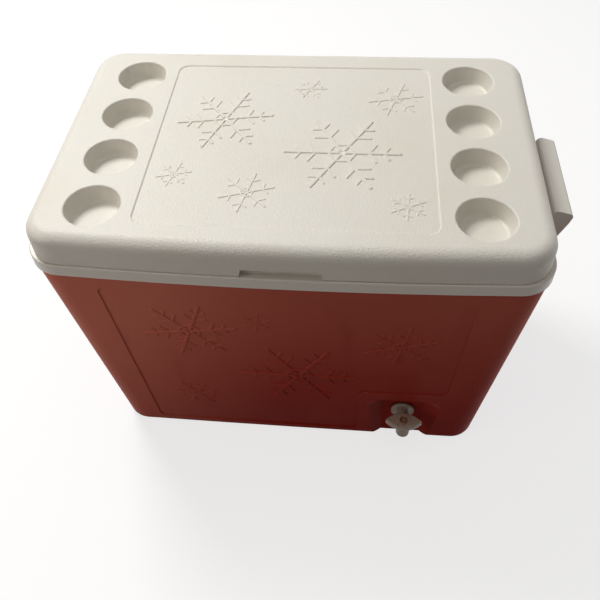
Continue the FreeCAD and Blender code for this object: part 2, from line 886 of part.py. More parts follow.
def body_hinge_leaf(end, holes):
    """The leaf on the collar, with a knuckle at each side."""
    outer = [(f"(-{HALF_HINGE})", f"(-{HALF_MIDDLE} - knuckle_gap)"),
             (f"({HALF_MIDDLE} + knuckle_gap)", f"({HALF_HINGE})")]
    web = (f"{SEAM} - {WEB_NEAR} - hinge_web", f"{SEAM} - {WEB_NEAR}")
    return hinge_leaf(f"hinge_body_leaf_{end}", ENDS[end], BACK_OF_COLLAR, web,
                      f"{SEAM} - body_leaf_gap", f"{SEAM} - body_leaf_gap - body_leaf_height",
                      outer, "hinge_pin_radius", holes)


def lid_hinge_leaf(end, holes):
    """The leaf on the back of the lid, with one knuckle in the middle."""
    middle = [(f"(-{HALF_MIDDLE})", f"({HALF_MIDDLE})")]
    web = (f"{SEAM} + {WEB_NEAR}", f"{SEAM} + {WEB_NEAR} + hinge_web")
    return hinge_leaf(f"hinge_lid_leaf_{end}", ENDS[end], BACK_OF_LID, web,
                      f"{SEAM} + lid_leaf_gap", f"{SEAM} + lid_leaf_gap + lid_leaf_height",
                      middle, "hinge_pin_radius + hinge_pin_fit", holes)


def hinge_pin(end):
    """Steel pin through one hinge."""
    length = "(hinge_length + 2 * hinge_pin_overrun)"
    return cylinder(f"hinge_pin_{end}", "hinge_pin_radius", length,
                    f"{ENDS[end]} * hinge_spacing / 2 - {length} / 2", HINGE_BACK, SEAM, ABOUT_Y, "90")


# Swing handles

PIVOT_OUT = f"({shell_side_at(PIVOT_LEVEL)} + handle_pivot_out)"
ARM_INNER = "(handle_length / 2 - handle_arm)"
EAR_OUTER = f"({ARM_INNER} - handle_side_gap)"


def handle_bracket(end, outside, screws):
    """Bracket on an end wall: a plate, two ears for the pins and a stop under each arm."""
    sign = ENDS[end]
    name = f"handle_bracket_{end}"
    wall_side = "(handle_pivot_out + shell_wall)"
    face = "(handle_pivot_out - bracket_plate)"
    tilt = "tan(handle_raised_tilt)"
    flare = "((handle_grip_width / 2 - handle_eye_radius) / (handle_reach - handle_grip_depth))"
    lean = f"(({tilt} - {flare}) / (1 + {tilt} * {flare}))"
    stop_out = (f"(handle_eye_radius * cos(handle_raised_tilt) + handle_side_gap - {lean}"
                " * (bracket_stop_rise - handle_eye_radius * sin(handle_raised_tilt)))")
    pieces = [box(name + "_plate", f"-{wall_side}", f"-{face}", f"-{EAR_OUTER}", EAR_OUTER,
                  "-bracket_height / 2", "bracket_height / 2")]
    for side, label in ((1, "back"), (-1, "front")):
        near, far = sorted_levels(f"{side} * ({EAR_OUTER} - bracket_ear)", f"{side} * {EAR_OUTER}")
        pieces.append(box(f"{name}_ear_{label}", f"-{wall_side}", "0", near, far,
                          "-bracket_ear_radius", "bracket_ear_radius"))
        pieces.append(cylinder(f"{name}_eye_{label}", "bracket_ear_radius", "bracket_ear",
                               back=far, axis=ABOUT_X, angle="90"))
        near, far = sorted_levels(f"{side} * ({EAR_OUTER} - bracket_ear / 2)", f"{side} * handle_length / 2")
        pieces.append(box(f"{name}_stop_{label}", f"-{wall_side}", f"-{stop_out}", near, far,
                          "bracket_stop_rise", "bracket_stop_rise + bracket_stop_height"))
    bore = cylinder(name + "_bore", "handle_pin_radius", "handle_length",
                    back="handle_length / 2", axis=ABOUT_X, angle="90")
    blank = cut(name + "_blank", fuse(name + "_pieces", pieces), [bore])
    place(blank, f"{sign} * {PIVOT_OUT}", "fitting_middle", PIVOT_LEVEL,
          Vector(0, 0, 1), "0" if sign > 0 else "180")
    return cut(name, blank, [outside, screws])


def handle_pins(end):
    """Two headed pins, pressed into the ears, on which the handle swings."""
    sign = ENDS[end]
    length = "(bracket_ear + handle_arm + 2 * handle_side_gap)"
    pins = []
    for side, label in ((1, "back"), (-1, "front")):
        pins.append(turned(f"handle_pin_{end}_{label}", [
            ("0", "0"),
            ("handle_pin_radius", "0"),
            ("handle_pin_radius", length),
            ("handle_pin_head", length),
            ("handle_pin_head", f"{length} + handle_pin_head_height"),
            ("0", f"{length} + handle_pin_head_height"),
        ], f"{sign} * {PIVOT_OUT}", f"fitting_middle + {side} * ({EAR_OUTER} - bracket_ear)",
            PIVOT_LEVEL, ABOUT_X, str(-90 * side)))
    return group(f"handle_pins_{end}", pins)


def swing_handle(end, angle):
    """Moulded handle: a channel grip between two arms, modelled standing on its pivot."""
    body = new_body(f"handle_{end}")
    half = "(handle_grip_width / 2)"
    inner = "(handle_grip_width / 2 - handle_grip_wall)"
    low = "(handle_reach - handle_grip_depth)"
    grip = new_sketch(body, f"grip_{end}", "XZ_Plane")
    draw_profile(grip, [
        (f"-{half}", low), (f"-{inner}", low),
        (f"-{inner}", "handle_reach - handle_grip_wall"), (inner, "handle_reach - handle_grip_wall"),
        (inner, low), (half, low), (half, "handle_reach"), (f"-{half}", "handle_reach"),
    ])
    pad(body, grip, "handle_length", midplane=True)
    for side, label in ((1, "front"), (-1, "back")):
        out = f"{side} * handle_length / 2"
        arm = new_sketch(body, f"arm_{end}_{label}", "XZ_Plane", out=out)
        draw_profile(arm, [
            ("-handle_eye_radius", "0"), ("handle_eye_radius", "0"),
            (half, low), (half, "handle_reach"), (f"-{half}", "handle_reach"), (f"-{half}", low),
        ])
        pad(body, arm, "handle_arm", reverse=side > 0)
        eye = new_sketch(body, f"eye_{end}_{label}", "XZ_Plane", out=out)
        draw_circle(eye, "handle_eye_radius")
        pad(body, eye, "handle_arm", reverse=side > 0)

    reach = value("handle_reach")

    def runs_along_grip(edge):
        box_of_edge = edge.BoundBox
        return abs(box_of_edge.ZMin - reach) < 0.01 and box_of_edge.YLength > SHORTEST_LONG_EDGE
    round_edges(body, runs_along_grip, "handle_grip_round")
    bore = new_sketch(body, f"bore_{end}", "XZ_Plane")
    draw_circle(bore, "handle_pin_radius + handle_pin_fit")
    pocket(body, bore, f"handle_length + 2 * {OVERRUN}", midplane=True)
    place(body, f"{ENDS[end]} * {PIVOT_OUT}", "fitting_middle", PIVOT_LEVEL, ABOUT_Y, angle)
    return body


# The lid

def arc_steps(steps=4):
    """The angles in degrees that round off a corner of a turned profile."""
    return [90 * step / steps for step in range(steps + 1)]


def lid_block(name, bottom, inset, top, edge_round):
    """A block with the lid's outline, rounded along its top edge."""
    body = new_body(name)
    sketch = new_sketch(body, name + "_outline", out=bottom)
    draw_outline(sketch, lid_plan(inset))
    pad(body, sketch, f"{top} - {bottom}")
    round_edges(body, at_level(top), edge_round)
    return body


def at_wells(name, points):
    """A turned tool or piece, repeated at every glass well of the lid."""
    row_out = f"({END_OF_LID} - well_row_inset)"
    body = turned(name, points, across=f"-{row_out}",
                  back="fitting_middle - well_pitch * (well_count - 1) / 2", up="chest_height")
    rows = [("X_Axis", f"2 * {row_out}", "2"), ("Y_Axis", "well_pitch", "well_count")]
    spread(body, body.Tip, rows)
    return body


def well_rooms():
    """The drafted room of each glass well, with a round floor corner and lip."""
    points = [("0", "-well_depth")]
    for angle in arc_steps():
        points.append((f"well_floor_radius - well_floor_round * (1 - sin({angle}))",
                       f"-well_depth + well_floor_round * (1 - cos({angle}))"))
    for angle in arc_steps():
        points.append((f"well_mouth_radius + well_lip_round * (1 - cos({angle}))",
                       f"-well_lip_round * (1 - sin({angle}))"))
    points.append(("well_mouth_radius + well_lip_round", OVERRUN))
    points.append(("0", OVERRUN))
    return at_wells("well_rooms", points)


def well_cups():
    """The outside of each well's cup, below the skin of the lid."""
    radius = "(well_mouth_radius + well_wall)"
    return at_wells("well_cups", [
        ("0", "-well_depth - well_wall"),
        (radius, "-well_depth - well_wall"),
        (radius, "-lid_wall / 2"),
        ("0", "-lid_wall / 2"),
    ])


def notch_block():
    """The block moulded round the finger notch, inside the front wall of the lid."""
    return box("notch_block", "-notch_length / 2 - lid_wall", "notch_length / 2 + lid_wall",
               f"-{BACK_OF_LID} + lid_wall / 2", f"-{BACK_OF_LID} + notch_depth + lid_wall",
               LID_BOTTOM, f"{LID_BOTTOM} + notch_height + lid_wall")


def notch_room():
    """The finger notch under the front edge of the lid, widest at the edge."""
    body = new_body("notch_room")
    sketch = new_sketch(body, "notch_outline", "XZ_Plane", out=f"({BACK_OF_LID} - notch_depth)")
    wide = "(notch_length / 2)"
    narrow = "(notch_length / 2 - notch_slant)"
    below = f"({LID_BOTTOM} - {OVERRUN})"
    top = f"({LID_BOTTOM} + notch_height)"
    draw_profile(sketch, [
        (f"-{wide}", below), (wide, below), (wide, LID_BOTTOM), (narrow, top),
        (f"-{narrow}", top), (f"-{wide}", LID_BOTTOM),
    ])
    pad(body, sketch, f"notch_depth + {OVERRUN}")
    return body


def lid_panel():
    """The shallow sunk panel in the middle of the lid, with sloping edges."""
    body = new_body("lid_panel_room")
    slope = "(lid_panel_edge_width / lid_panel_sink)"
    for label, rise in (("floor", "-lid_panel_sink"), ("mouth", OVERRUN)):
        half = f"({END_OF_LID} - lid_panel_end_inset + {slope} * {rise})"
        deep = f"({BACK_OF_LID} - lid_panel_side_inset + {slope} * {rise})"
        sketch = new_sketch(body, f"lid_panel_{label}", up="fitting_middle", out=f"chest_height + {rise}")
        draw_rounded_rectangle(sketch, f"-{half}", half, f"-{deep}", deep,
                               f"lid_panel_corner + {slope} * {rise}")
    loft(body, "Additive", [item for item in body.Group if item.TypeId.startswith("Sketcher")])
    return body


def lid_top(cups, block, screws):
    """Outer skin of the lid with its eight wells, sunk panel and finger notch."""
    skin = lid_block("lid_skin", LID_BOTTOM, "0", "chest_height", "lid_edge_round")
    round_edges(skin, at_level(LID_BOTTOM), "lid_rim_round")
    room = lid_block("lid_room", LID_BOTTOM, "lid_wall", LID_INNER_TOP, "lid_edge_round - lid_wall")
    hollow = cut("lid_hollow", skin, [room])
    blank = fuse("lid_blank", [hollow, cups, block])
    return cut("lid_top", blank, [well_rooms(), lid_panel(), notch_room(), screws])


def pan_room(name, top):
    """The inside of the pan's plug, from its floor up to a level."""
    body = new_body(name)
    floor = f"({LID_BOTTOM} - plug_depth + pan_wall)"
    sketch = new_sketch(body, name + "_outline", out=floor)
    draw_rounded_rectangle(sketch, *ledge_plan("-plug_clearance - pan_wall"))
    pad(body, sketch, f"{top} - {floor}")
    return body


def lid_inner_pan(block):
    """Inner pan of the lid: a flange inside the skirt and a plug that enters the cavity."""
    body = new_body("pan_moulding")
    flange = new_sketch(body, "pan_flange", out=LID_BOTTOM)
    draw_outline(flange, lid_plan("lid_wall + pan_fit"))
    pad(body, flange, "pan_wall")
    plug = new_sketch(body, "pan_plug", out=f"{LID_BOTTOM} - plug_depth")
    draw_rounded_rectangle(plug, *ledge_plan("-plug_clearance"))
    pad(body, plug, "plug_depth + pan_wall / 2")
    return cut("lid_inner_pan", body, [pan_room("pan_inside", PAN_TOP), block])


def lid_foam(cups, block, screws):
    """Foam that fills the lid between its skin and its pan."""
    upper = lid_block("lid_foam_upper", PAN_TOP, "lid_wall", LID_INNER_TOP, "lid_edge_round - lid_wall")
    lower = pan_room("lid_foam_lower", f"({PAN_TOP} + pan_wall)")
    return cut("lid_foam", fuse("lid_foam_blank", [upper, lower]), [cups, block, screws])


# The tap, along an axis that points out of the recess

RECESS_FACE = f"(-{RECESS_BACK})"
BOSS_INNER = f"({cavity_back_at('tap_level')} - tap_boss_rise)"
TO_BOSS = f"({RECESS_BACK} - {BOSS_INNER})"
SHANK_END = f"({TO_BOSS} + tap_washer + lock_nut_height + shank_beyond_nut)"
VALVE_BACK = f"({RECESS_FACE} - valve_reach)"


def on_tap_axis(name, points, from_face="0"):
    """A piece turned round the tap's axis; heights run outwards from the recess face."""
    return turned(name, points, "tap_along", f"{RECESS_FACE} - ({from_face})", "tap_level", ABOUT_X, "90")


def ring_points(inner, outer, low, high):
    """The profile of a plain ring."""
    return [(inner, low), (outer, low), (outer, high), (inner, high)]


def tap_body():
    """Tap moulding: threaded shank, flange, barrel, upright valve housing and spout."""
    turned_part = on_tap_axis("tap_turned", [
        ("tap_bore_radius", f"-{SHANK_END}"),
        ("shank_radius", f"-{SHANK_END}"),
        ("shank_radius", "tap_washer"),
        ("tap_flange_radius", "tap_washer"),
        ("tap_flange_radius", "tap_washer + tap_flange - tap_flange_bevel"),
        ("tap_flange_radius - tap_flange_bevel", "tap_washer + tap_flange"),
        ("tap_barrel_radius", "tap_washer + tap_flange"),
        ("tap_barrel_radius", "valve_reach"),
        ("tap_bore_radius", "valve_reach"),
    ])
    housing = turned("tap_housing", [
        ("0", "-spout_drop"),
        ("spout_radius - spout_round", "-spout_drop"),
        ("spout_radius", "-spout_drop + spout_round"),
        ("spout_radius", "-valve_below - spout_round"),
        ("valve_radius - spout_round", "-valve_below"),
        ("valve_radius", "-valve_below + spout_round"),
        ("valve_radius", "valve_above"),
        ("0", "valve_above"),
    ], "tap_along", VALVE_BACK, "tap_level")
    plug_bottom = "(-valve_below + plug_floor)"
    valve_room = turned("tap_valve_room", [
        ("0", f"-spout_drop - {OVERRUN}"),
        ("plug_bore_radius", f"-spout_drop - {OVERRUN}"),
        ("plug_bore_radius", plug_bottom),
        ("plug_radius", plug_bottom),
        ("plug_radius", f"valve_above + {OVERRUN}"),
        ("0", f"valve_above + {OVERRUN}"),
    ], "tap_along", VALVE_BACK, "tap_level")
    bore = cylinder("tap_bore", "tap_bore_radius", "valve_reach", "tap_along",
                    RECESS_FACE, "tap_level", ABOUT_X, "90")
    return cut("tap_body", fuse("tap_blank", [turned_part, housing]), [valve_room, bore])


O_RING_LEVELS = {
    "upper": "(valve_above - 1.5 * o_ring_thickness)",
    "lower": "(-valve_below + plug_floor + 1.5 * o_ring_thickness)",
}


def o_ring_groove(label):
    """The square groove of one sealing ring, a little wider and deeper than the ring."""
    floor = "(plug_radius - plug_fit - o_ring_thickness - o_ring_gap)"
    half = "(o_ring_thickness / 2 + o_ring_gap)"
    return turned(f"o_ring_groove_{label}", ring_points(floor, f"plug_radius + {OVERRUN}", f"-{half}", half),
                  "tap_along", VALVE_BACK, f"tap_level + {O_RING_LEVELS[label]}")


def tap_plug():
    """Turning plug: a side port that meets the barrel when open, and an outlet below."""
    radius = "(plug_radius - plug_fit)"
    stem_top = "(valve_above + knob_gap + knob_socket_depth)"
    low = "(-valve_below + plug_floor + plug_floor_gap)"
    blank = turned("plug_turned", [
        ("0", low),
        (radius, low),
        (radius, "valve_above"),
        ("plug_stem_radius", "valve_above"),
        ("plug_stem_radius", stem_top),
        ("0", stem_top),
    ], "tap_along", VALVE_BACK, "tap_level")
    outlet = cylinder("plug_outlet", "plug_bore_radius", f"-({low})",
                      "tap_along", VALVE_BACK, f"tap_level + {low}")
    port = cylinder("plug_port", "plug_bore_radius", "2 * plug_radius",
                    "tap_along", VALVE_BACK, "tap_level", ABOUT_Y, "90")
    screw_room = cylinder("plug_screw_room", "hinge_screw_radius", "knob_screw_length",
                          "tap_along", VALVE_BACK, f"tap_level + {stem_top} - knob_screw_length")
    grooves = [o_ring_groove(label) for label in O_RING_LEVELS]
    return cut("tap_plug", blank, [outlet, port, screw_room] + grooves)


def o_ring(label):
    """A sealing ring, flush with the plug's side."""
    item = document.addObject("Part::Torus", f"o_ring_{label}")
    bind(item, "Radius1", "plug_radius - plug_fit - o_ring_thickness / 2")
    bind(item, "Radius2", "o_ring_thickness / 2")
    place(item, "tap_along", VALVE_BACK, f"tap_level + {O_RING_LEVELS[label]}")
    return item


def plug_o_rings():
    """The plug's two sealing rings, above and below its port."""
    return group("plug_o_rings", [o_ring(label) for label in O_RING_LEVELS])


def knob_screw():
    """Small screw that holds the handle down on the plug's stem."""
    seat = "(tap_level + valve_above + knob_gap + knob_socket_depth)"
    return screw("knob_screw", "hinge_screw_radius", "knob_screw_length",
                 "knob_screw_head", "hinge_screw_head_height",
                 across="tap_along", back=VALVE_BACK, up=seat)


def draw_eye(sketch, length, width):
    """An eye shape: two arcs that meet in a point at each end."""
    half = value(f"{length} / 2")
    rise = value(f"{width} / 2")
    radius = f"((({length}) / 2)^2 + (({width}) / 2)^2) / ({width})"
    lift = value(radius) - rise
    lean = math.atan2(lift, half)
    upper = arc_of(Vector(0, -lift, 0), value(radius), lean, math.pi - lean)
    lower = arc_of(Vector(0, lift, 0), value(radius), math.pi + lean, -lean)
    sketch.addGeometry(upper, False)
    sketch.addGeometry(lower, False)
    sketch.addConstraint(Sketcher.Constraint("Coincident", 0, 2, 1, 1))
    sketch.addConstraint(Sketcher.Constraint("Coincident", 1, 2, 0, 1))
    constrain(sketch, "Radius", 0, radius)
    constrain(sketch, "Radius", 1, radius)
    constrain_point(sketch, 0, 1, f"({length}) / 2", "0")
    constrain_point(sketch, 1, 1, f"-({length}) / 2", "0")


def tap_knob():
    """Eye-shaped tap handle with a round hub, seated on the plug's stem."""
    body = new_body("tap_knob")
    wings = new_sketch(body, "knob_wings")
    draw_eye(wings, "knob_length", "knob_width")
    pad(body, wings, "knob_wing_height")

    def stands_at_tip(edge):
        return edge.BoundBox.ZLength > SHORTEST_LONG_EDGE
    round_edges(body, stands_at_tip, "knob_tip_round")
    round_edges(body, at_level("knob_wing_height"), "knob_round")
    hub = new_sketch(body, "knob_hub")
    draw_circle(hub, "knob_hub_radius")
    pad(body, hub, "knob_height")
    round_edges(body, at_level("knob_height"), "knob_round / 2")
    stem = new_sketch(body, "knob_socket")
    draw_circle(stem, "plug_stem_radius")
    pocket(body, stem, "knob_socket_depth")
    head = new_sketch(body, "knob_screw_room", out="knob_socket_depth")
    draw_circle(head, "knob_screw_head + knob_gap")
    pocket(body, head, "knob_height")
    place(body, "tap_along", VALVE_BACK, "tap_level + valve_above + knob_gap")
    return body


def nut(name, flats, height, bore, **where):
    """A hexagon nut, its flat sides round its own upright axis."""
    body = new_body(name)
    sketch = new_sketch(body, name + "_flats")
    draw_hexagon(sketch, flats)
    draw_circle(sketch, bore)
    pad(body, sketch, height)
    place(body, **where)
    return body


def tap_joint():
    """What clamps and seals the tap in the wall, from the recess inwards."""
    bore = "(shank_radius + shank_fit)"
    sleeve_end = f"({TO_BOSS} - tap_boss_depth)"
    washer_end = f"({TO_BOSS} + tap_washer)"
    pieces = {
        "outer_washer": on_tap_axis("tap_outer_washer",
                                    ring_points(bore, "tap_flange_radius - 1", "0", "tap_washer")),
        "sleeve": on_tap_axis("shank_sleeve",
                              ring_points(bore, f"{bore} + sleeve_wall", f"-{sleeve_end}", "-shell_wall")),
        "inner_washer": on_tap_axis("tap_inner_washer", ring_points(
            bore, "tap_inner_washer_radius", f"-{washer_end}", f"-{TO_BOSS}")),
        "lock_nut": nut("tap_lock_nut", "lock_nut_flats", "lock_nut_height", "shank_radius",
                        across="tap_along", back=f"-{BOSS_INNER} + tap_washer + lock_nut_height",
                        up="tap_level", axis=ABOUT_X, angle="90"),
    }
    return pieces


COIL_START = f"({RECESS_FACE} + {SHANK_END} + ferrule_length)"


def coil_union():
    """Union nut and ferrule that hold the coil's tube against the end of the shank."""
    ferrule = on_tap_axis("coil_ferrule", ring_points(
        "coil_tube_radius", "ferrule_radius", f"-{SHANK_END} - ferrule_length", f"-{SHANK_END}"))
    end = f"({SHANK_END} + ferrule_length)"
    blank = nut("union_nut_blank", "union_nut_flats", "union_nut_overlap + ferrule_length + union_nut_end",
                "coil_tube_radius + shank_fit", across="tap_along",
                back=f"{RECESS_FACE} + {end} + union_nut_end", up="tap_level", axis=ABOUT_X, angle="90")
    thread = on_tap_axis("union_thread", [
        ("0", f"-{SHANK_END}"), ("shank_radius", f"-{SHANK_END}"), ("shank_radius", "0"), ("0", "0")])
    seat = on_tap_axis("union_seat", [
        ("0", f"-{end}"), ("ferrule_radius", f"-{end}"), ("ferrule_radius", f"-{SHANK_END}"),
        ("0", f"-{SHANK_END}")])
    return ferrule, cut("coil_union_nut", blank, [thread, seat])


# The chill coil

def arc_edge(start, corner, end):
    """The arc tangent to start-corner and corner-end, two legs of one length."""
    half_turn = start.distanceToPoint(end) / (2 * start.distanceToPoint(corner))
    middle = (start + end + corner * (2 * half_turn)) * (1 / (2 + 2 * half_turn))
    return Part.Arc(start, middle, end).toShape()


def biarc(start, leaving, end, arriving):
    """Two tangent arcs from one point and direction to another."""
    gap = end - start
    total = leaving + arriving
    spread_of = 2 * (1 - leaving.dot(arriving))
    reach = (-gap.dot(total) + math.sqrt(gap.dot(total) ** 2 + spread_of * gap.dot(gap))) / spread_of
    first_corner = start + leaving * reach
    second_corner = end - arriving * reach
    middle = (first_corner + second_corner) * 0.5
    return [arc_edge(start, first_corner, middle), arc_edge(middle, second_corner, end)]


def coil_path():
    """Centre line of the coil: level lead from the tap, rising turns, riser to the tank."""
    radius = value("coil_radius")
    pitch = value("coil_pitch")
    turns = int(value("coil_turns"))
    axis = Vector(value("tap_along") - radius, value("coil_middle_back"), 0)
    slope = pitch / (2 * math.pi * radius)
    level = value("tap_level")
    lead = value("coil_lead_bend")
    climb = math.atan(slope)
    foot_back = axis.y - lead * math.sin(climb)
    foot = level + lead * (1 - math.cos(climb))

    def on_helix(quarter):
        angle = quarter * math.pi / 2
        across, along = math.cos(angle), math.sin(angle)
        point = axis + Vector(radius * across, radius * along, foot + pitch * quarter / 4)
        heading = Vector(-along, across, slope)
        return point, heading.normalize()

    start = Vector(value("tap_along"), value(COIL_START) - value("ferrule_length"), level)
    lead_end = Vector(start.x, foot_back, level)
    first, heading = on_helix(0)
    edges = [Part.LineSegment(start, lead_end).toShape()]
    edges.append(arc_edge(lead_end, lead_end + Vector(0, lead * math.tan(climb / 2), 0), first))
    for quarter in range(4 * turns):
        begin, leaving = on_helix(quarter)
        end, arriving = on_helix(quarter + 1)
        edges.extend(biarc(begin, leaving, end, arriving))
    last, heading = on_helix(4 * turns)
    bend = value("coil_riser_bend")
    leg = bend * math.tan((math.pi / 2 - climb) / 2)
    corner = last + heading * leg
    riser_foot = corner + Vector(0, 0, leg)
    riser_top = riser_foot + Vector(0, 0, value("coil_riser"))
    edges.append(arc_edge(last, corner, riser_foot))
    edges.append(Part.LineSegment(riser_foot, riser_top).toShape())
    print(f"coil: gap between turns {pitch - 2 * value('coil_tube_radius'):.2f} mm")
    return Part.Wire(edges), start, riser_top


def chill_coil():
    """Steel tube wound from the tap's shank up to the tank's outlet hose."""
    path, start, top = coil_path()
    outward = Vector(0, 1, 0)
    outer = Part.Wire(Part.makeCircle(value("coil_tube_radius"), start, outward))
    inner = Part.Wire(Part.makeCircle(value("coil_tube_radius - coil_tube_wall"), start, outward))
    tube = path.makePipeShell([outer], True, False).cut(path.makePipeShell([inner], True, False))
    section = math.pi * (value("coil_tube_radius") ** 2 - value("coil_tube_radius - coil_tube_wall") ** 2)
    print(f"coil: volume {tube.Volume:.0f}, section times length {section * path.Length:.0f} mm3")
    item = document.addObject("Part::Feature", "chill_coil")
    item.Shape = tube
    item.Placement = FreeCAD.Placement()
    return item, top


COIL_ACROSS = "(tap_along - coil_radius)"
CORE_OUTER = "(coil_radius - coil_tube_radius - coil_fit)"


def coil_core():
    """Windowed plastic core that stands on the liner's floor and carries the coil."""
    body = new_body("coil_core")
    shelf = "(tap_level - coil_tube_radius - core_flange_gap - cavity_floor)"
    top = f"({shelf} + coil_pitch * coil_turns)"
    profile = new_sketch(body, "core_profile", "XZ_Plane")
    draw_profile(profile, [
        (f"{CORE_OUTER} - core_wall", "0"),
        (CORE_OUTER, "0"),
        (CORE_OUTER, f"{shelf} - core_wall"),
        (f"{CORE_OUTER} + core_flange_width", f"{shelf} - core_wall"),
        (f"{CORE_OUTER} + core_flange_width", shelf),
        (CORE_OUTER, shelf),
        (CORE_OUTER, top),
        (f"{CORE_OUTER} - core_wall", top),
    ])
    revolve(body, profile)
    window = new_sketch(body, "core_window", "XZ_Plane", up=f"({shelf} + {top}) / 2")
    half = "core_window_width / 2"
    draw_rounded_rectangle(window, f"-{half}", half, "-core_window_height / 2",
                           "core_window_height / 2", "core_window_width / 3")
    slot = pocket(body, window, "coil_radius", reverse=True)
    ring = body.newObject("PartDesign::PolarPattern", "core_windows_round")
    ring.Originals = [slot]
    ring.Axis = (origin_item(body, "Z_Axis"), [""])
    ring.Angle = FULL_TURN
    bind(ring, "Occurrences", "core_window_count")
    body.Tip = ring
    place(body, COIL_ACROSS, "coil_middle_back", "cavity_floor")
    return body


# The drink tank, its cap and its outlet

TANK_RIGHT = f"({cavity_side_at(LEDGE)} - tank_end_gap)"
TANK_LEFT = f"({TANK_RIGHT} - tank_length)"
TANK_BACK = f"({cavity_back_at(LEDGE)} - tank_side_gap)"
TANK_ACROSS = f"({TANK_RIGHT} - tank_length / 2)"
TANK_TOP = f"({LEDGE} + tank_flange)"
TANK_BOTTOM = "(tap_level + coil_pitch * coil_turns + tank_over_coil)"


def tank_block(name, wall, bottom, top):
    """A block with the tank's plan, drawn in by its wall."""
    body = new_body(name)
    sketch = new_sketch(body, name + "_plan", out=bottom)
    draw_rounded_rectangle(sketch, f"{TANK_LEFT} + {wall}", f"{TANK_RIGHT} - {wall}",
                           f"-{TANK_BACK} + {wall}", f"{TANK_BACK} - {wall}",
                           f"tank_corner - {wall}")
    pad(body, sketch, f"({top}) - ({bottom})")
    return body


def on_neck(name, points):
    """A piece turned round the neck of the tank, its heights from the tank's top."""
    return turned(name, points, TANK_ACROSS, "0", TANK_TOP)


def drink_tank(outlet):
    """Closed tank whose flange rests on the liner's ledge, with a filler neck on top."""
    floor = f"{TANK_BOTTOM} + tank_wall"
    outside = tank_block("tank_outside", "0", TANK_BOTTOM, TANK_TOP)
    round_edges(outside, at_level(TANK_BOTTOM), "tank_corner / 2")
    inside = tank_block("tank_inside", "tank_wall", floor, LEDGE)
    round_edges(inside, at_level(floor), "tank_corner / 2 - tank_wall")
    flange = new_body("tank_flange_plate")
    sketch = new_sketch(flange, "tank_flange_plan", out=LEDGE)
    half = f"({cavity_side_at(LEDGE)} + ledge_width - tank_flange_fit)"
    deep = f"({cavity_back_at(LEDGE)} + ledge_width - tank_flange_fit)"
    draw_rectangle(sketch, f"{TANK_LEFT} - tank_flange_lip", half, f"-{deep}", deep)
    pad(flange, sketch, "tank_flange")
    right = value(half)

    def stands_at_right(edge):
        box_of_edge = edge.BoundBox
        return box_of_edge.ZLength > SHORTEST_LONG_EDGE and abs(box_of_edge.XMin - right) < 0.01
    round_edges(flange, stands_at_right, "tank_flange_corner")
    neck = on_neck("tank_neck", [
        ("0", "-tank_flange / 2"),
        ("tank_neck_radius", "-tank_flange / 2"),
        ("tank_neck_radius", "tank_neck_height"),
        ("0", "tank_neck_height"),
    ])
    mouth = on_neck("tank_mouth", [
        ("0", "-2 * tank_flange"),
        ("tank_neck_radius - tank_neck_wall", "-2 * tank_flange"),
        ("tank_neck_radius - tank_neck_wall", f"tank_neck_height + {OVERRUN}"),
        ("0", f"tank_neck_height + {OVERRUN}"),
    ])
    return cut("drink_tank", fuse("tank_blank", [outside, flange, neck]), [inside, mouth, outlet])


def tank_cap():
    """Screw cap of the tank, with a vent and a bar to turn it by."""
    inner = "(tank_neck_radius + tank_cap_fit)"
    seat = "(tank_neck_height + tank_gasket)"
    top = f"({seat} + tank_cap_wall)"
    shell = on_neck("cap_shell", [
        ("tank_vent_radius", seat),
        (inner, seat),
        (inner, f"{top} - tank_cap_height"),
        ("tank_cap_radius", f"{top} - tank_cap_height"),
        ("tank_cap_radius", f"{top} - tank_cap_wall / 2"),
        ("tank_cap_radius - tank_cap_wall / 2", top),
        ("tank_vent_radius", top),
    ])
    bars = []
    for side, label in ((1, "right"), (-1, "left")):
        near, far = sorted_levels(f"{side} * 3 * tank_vent_radius",
                                  f"{side} * (tank_cap_radius - 2 * tank_cap_wall)")
        bars.append(box(f"cap_bar_{label}", f"{TANK_ACROSS} + {near}", f"{TANK_ACROSS} + {far}",
                        "-tank_cap_bar_width / 2", "tank_cap_bar_width / 2",
                        f"{TANK_TOP} + {seat} + tank_cap_wall / 2",
                        f"{TANK_TOP} + {top} + tank_cap_bar_height"))
    return fuse("tank_cap", [shell] + bars)


def tank_cap_gasket():
    """Flat sealing ring between the cap and the neck."""
    return on_neck("tank_cap_gasket", ring_points(
        "tank_neck_radius - tank_neck_wall", "tank_neck_radius",
        "tank_neck_height + tank_gasket_gap", "tank_neck_height + tank_gasket"))


COIL_CLIMB = "(coil_pitch / sqrt(coil_pitch^2 + (2 * pi * coil_radius)^2))"
OUTLET_BACK = f"(coil_middle_back + coil_riser_bend * (1 - {COIL_CLIMB}))"


def on_outlet(name, points):
    """A piece turned round the tank's outlet, its heights from the underside of the tank."""
    return turned(name, points, "tap_along", OUTLET_BACK, TANK_BOTTOM)


def tank_outlet_fitting():
    """Flanged outlet through the tank's floor, with a barb for the hose."""
    seat = "(tank_wall + outlet_washer)"
    barb = "(coil_tube_radius)"
    return on_outlet("tank_outlet_fitting", [
        ("outlet_bore_radius", "-outlet_barb_drop"),
        (barb, "-outlet_barb_drop"),
        (barb, "-outlet_nut_height * 2"),
        ("outlet_shank_radius", "-outlet_nut_height * 2"),
        ("outlet_shank_radius", seat),
        ("outlet_flange_radius", seat),
        ("outlet_flange_radius", f"{seat} + outlet_flange"),
        ("outlet_bore_radius", f"{seat} + outlet_flange"),
    ])


def tank_outlet_washer():
    """Sealing ring between the outlet's flange and the tank's floor."""
    return on_outlet("tank_outlet_washer", ring_points(
        "outlet_shank_radius + shank_fit", "outlet_flange_radius", "tank_wall", "tank_wall + outlet_washer"))


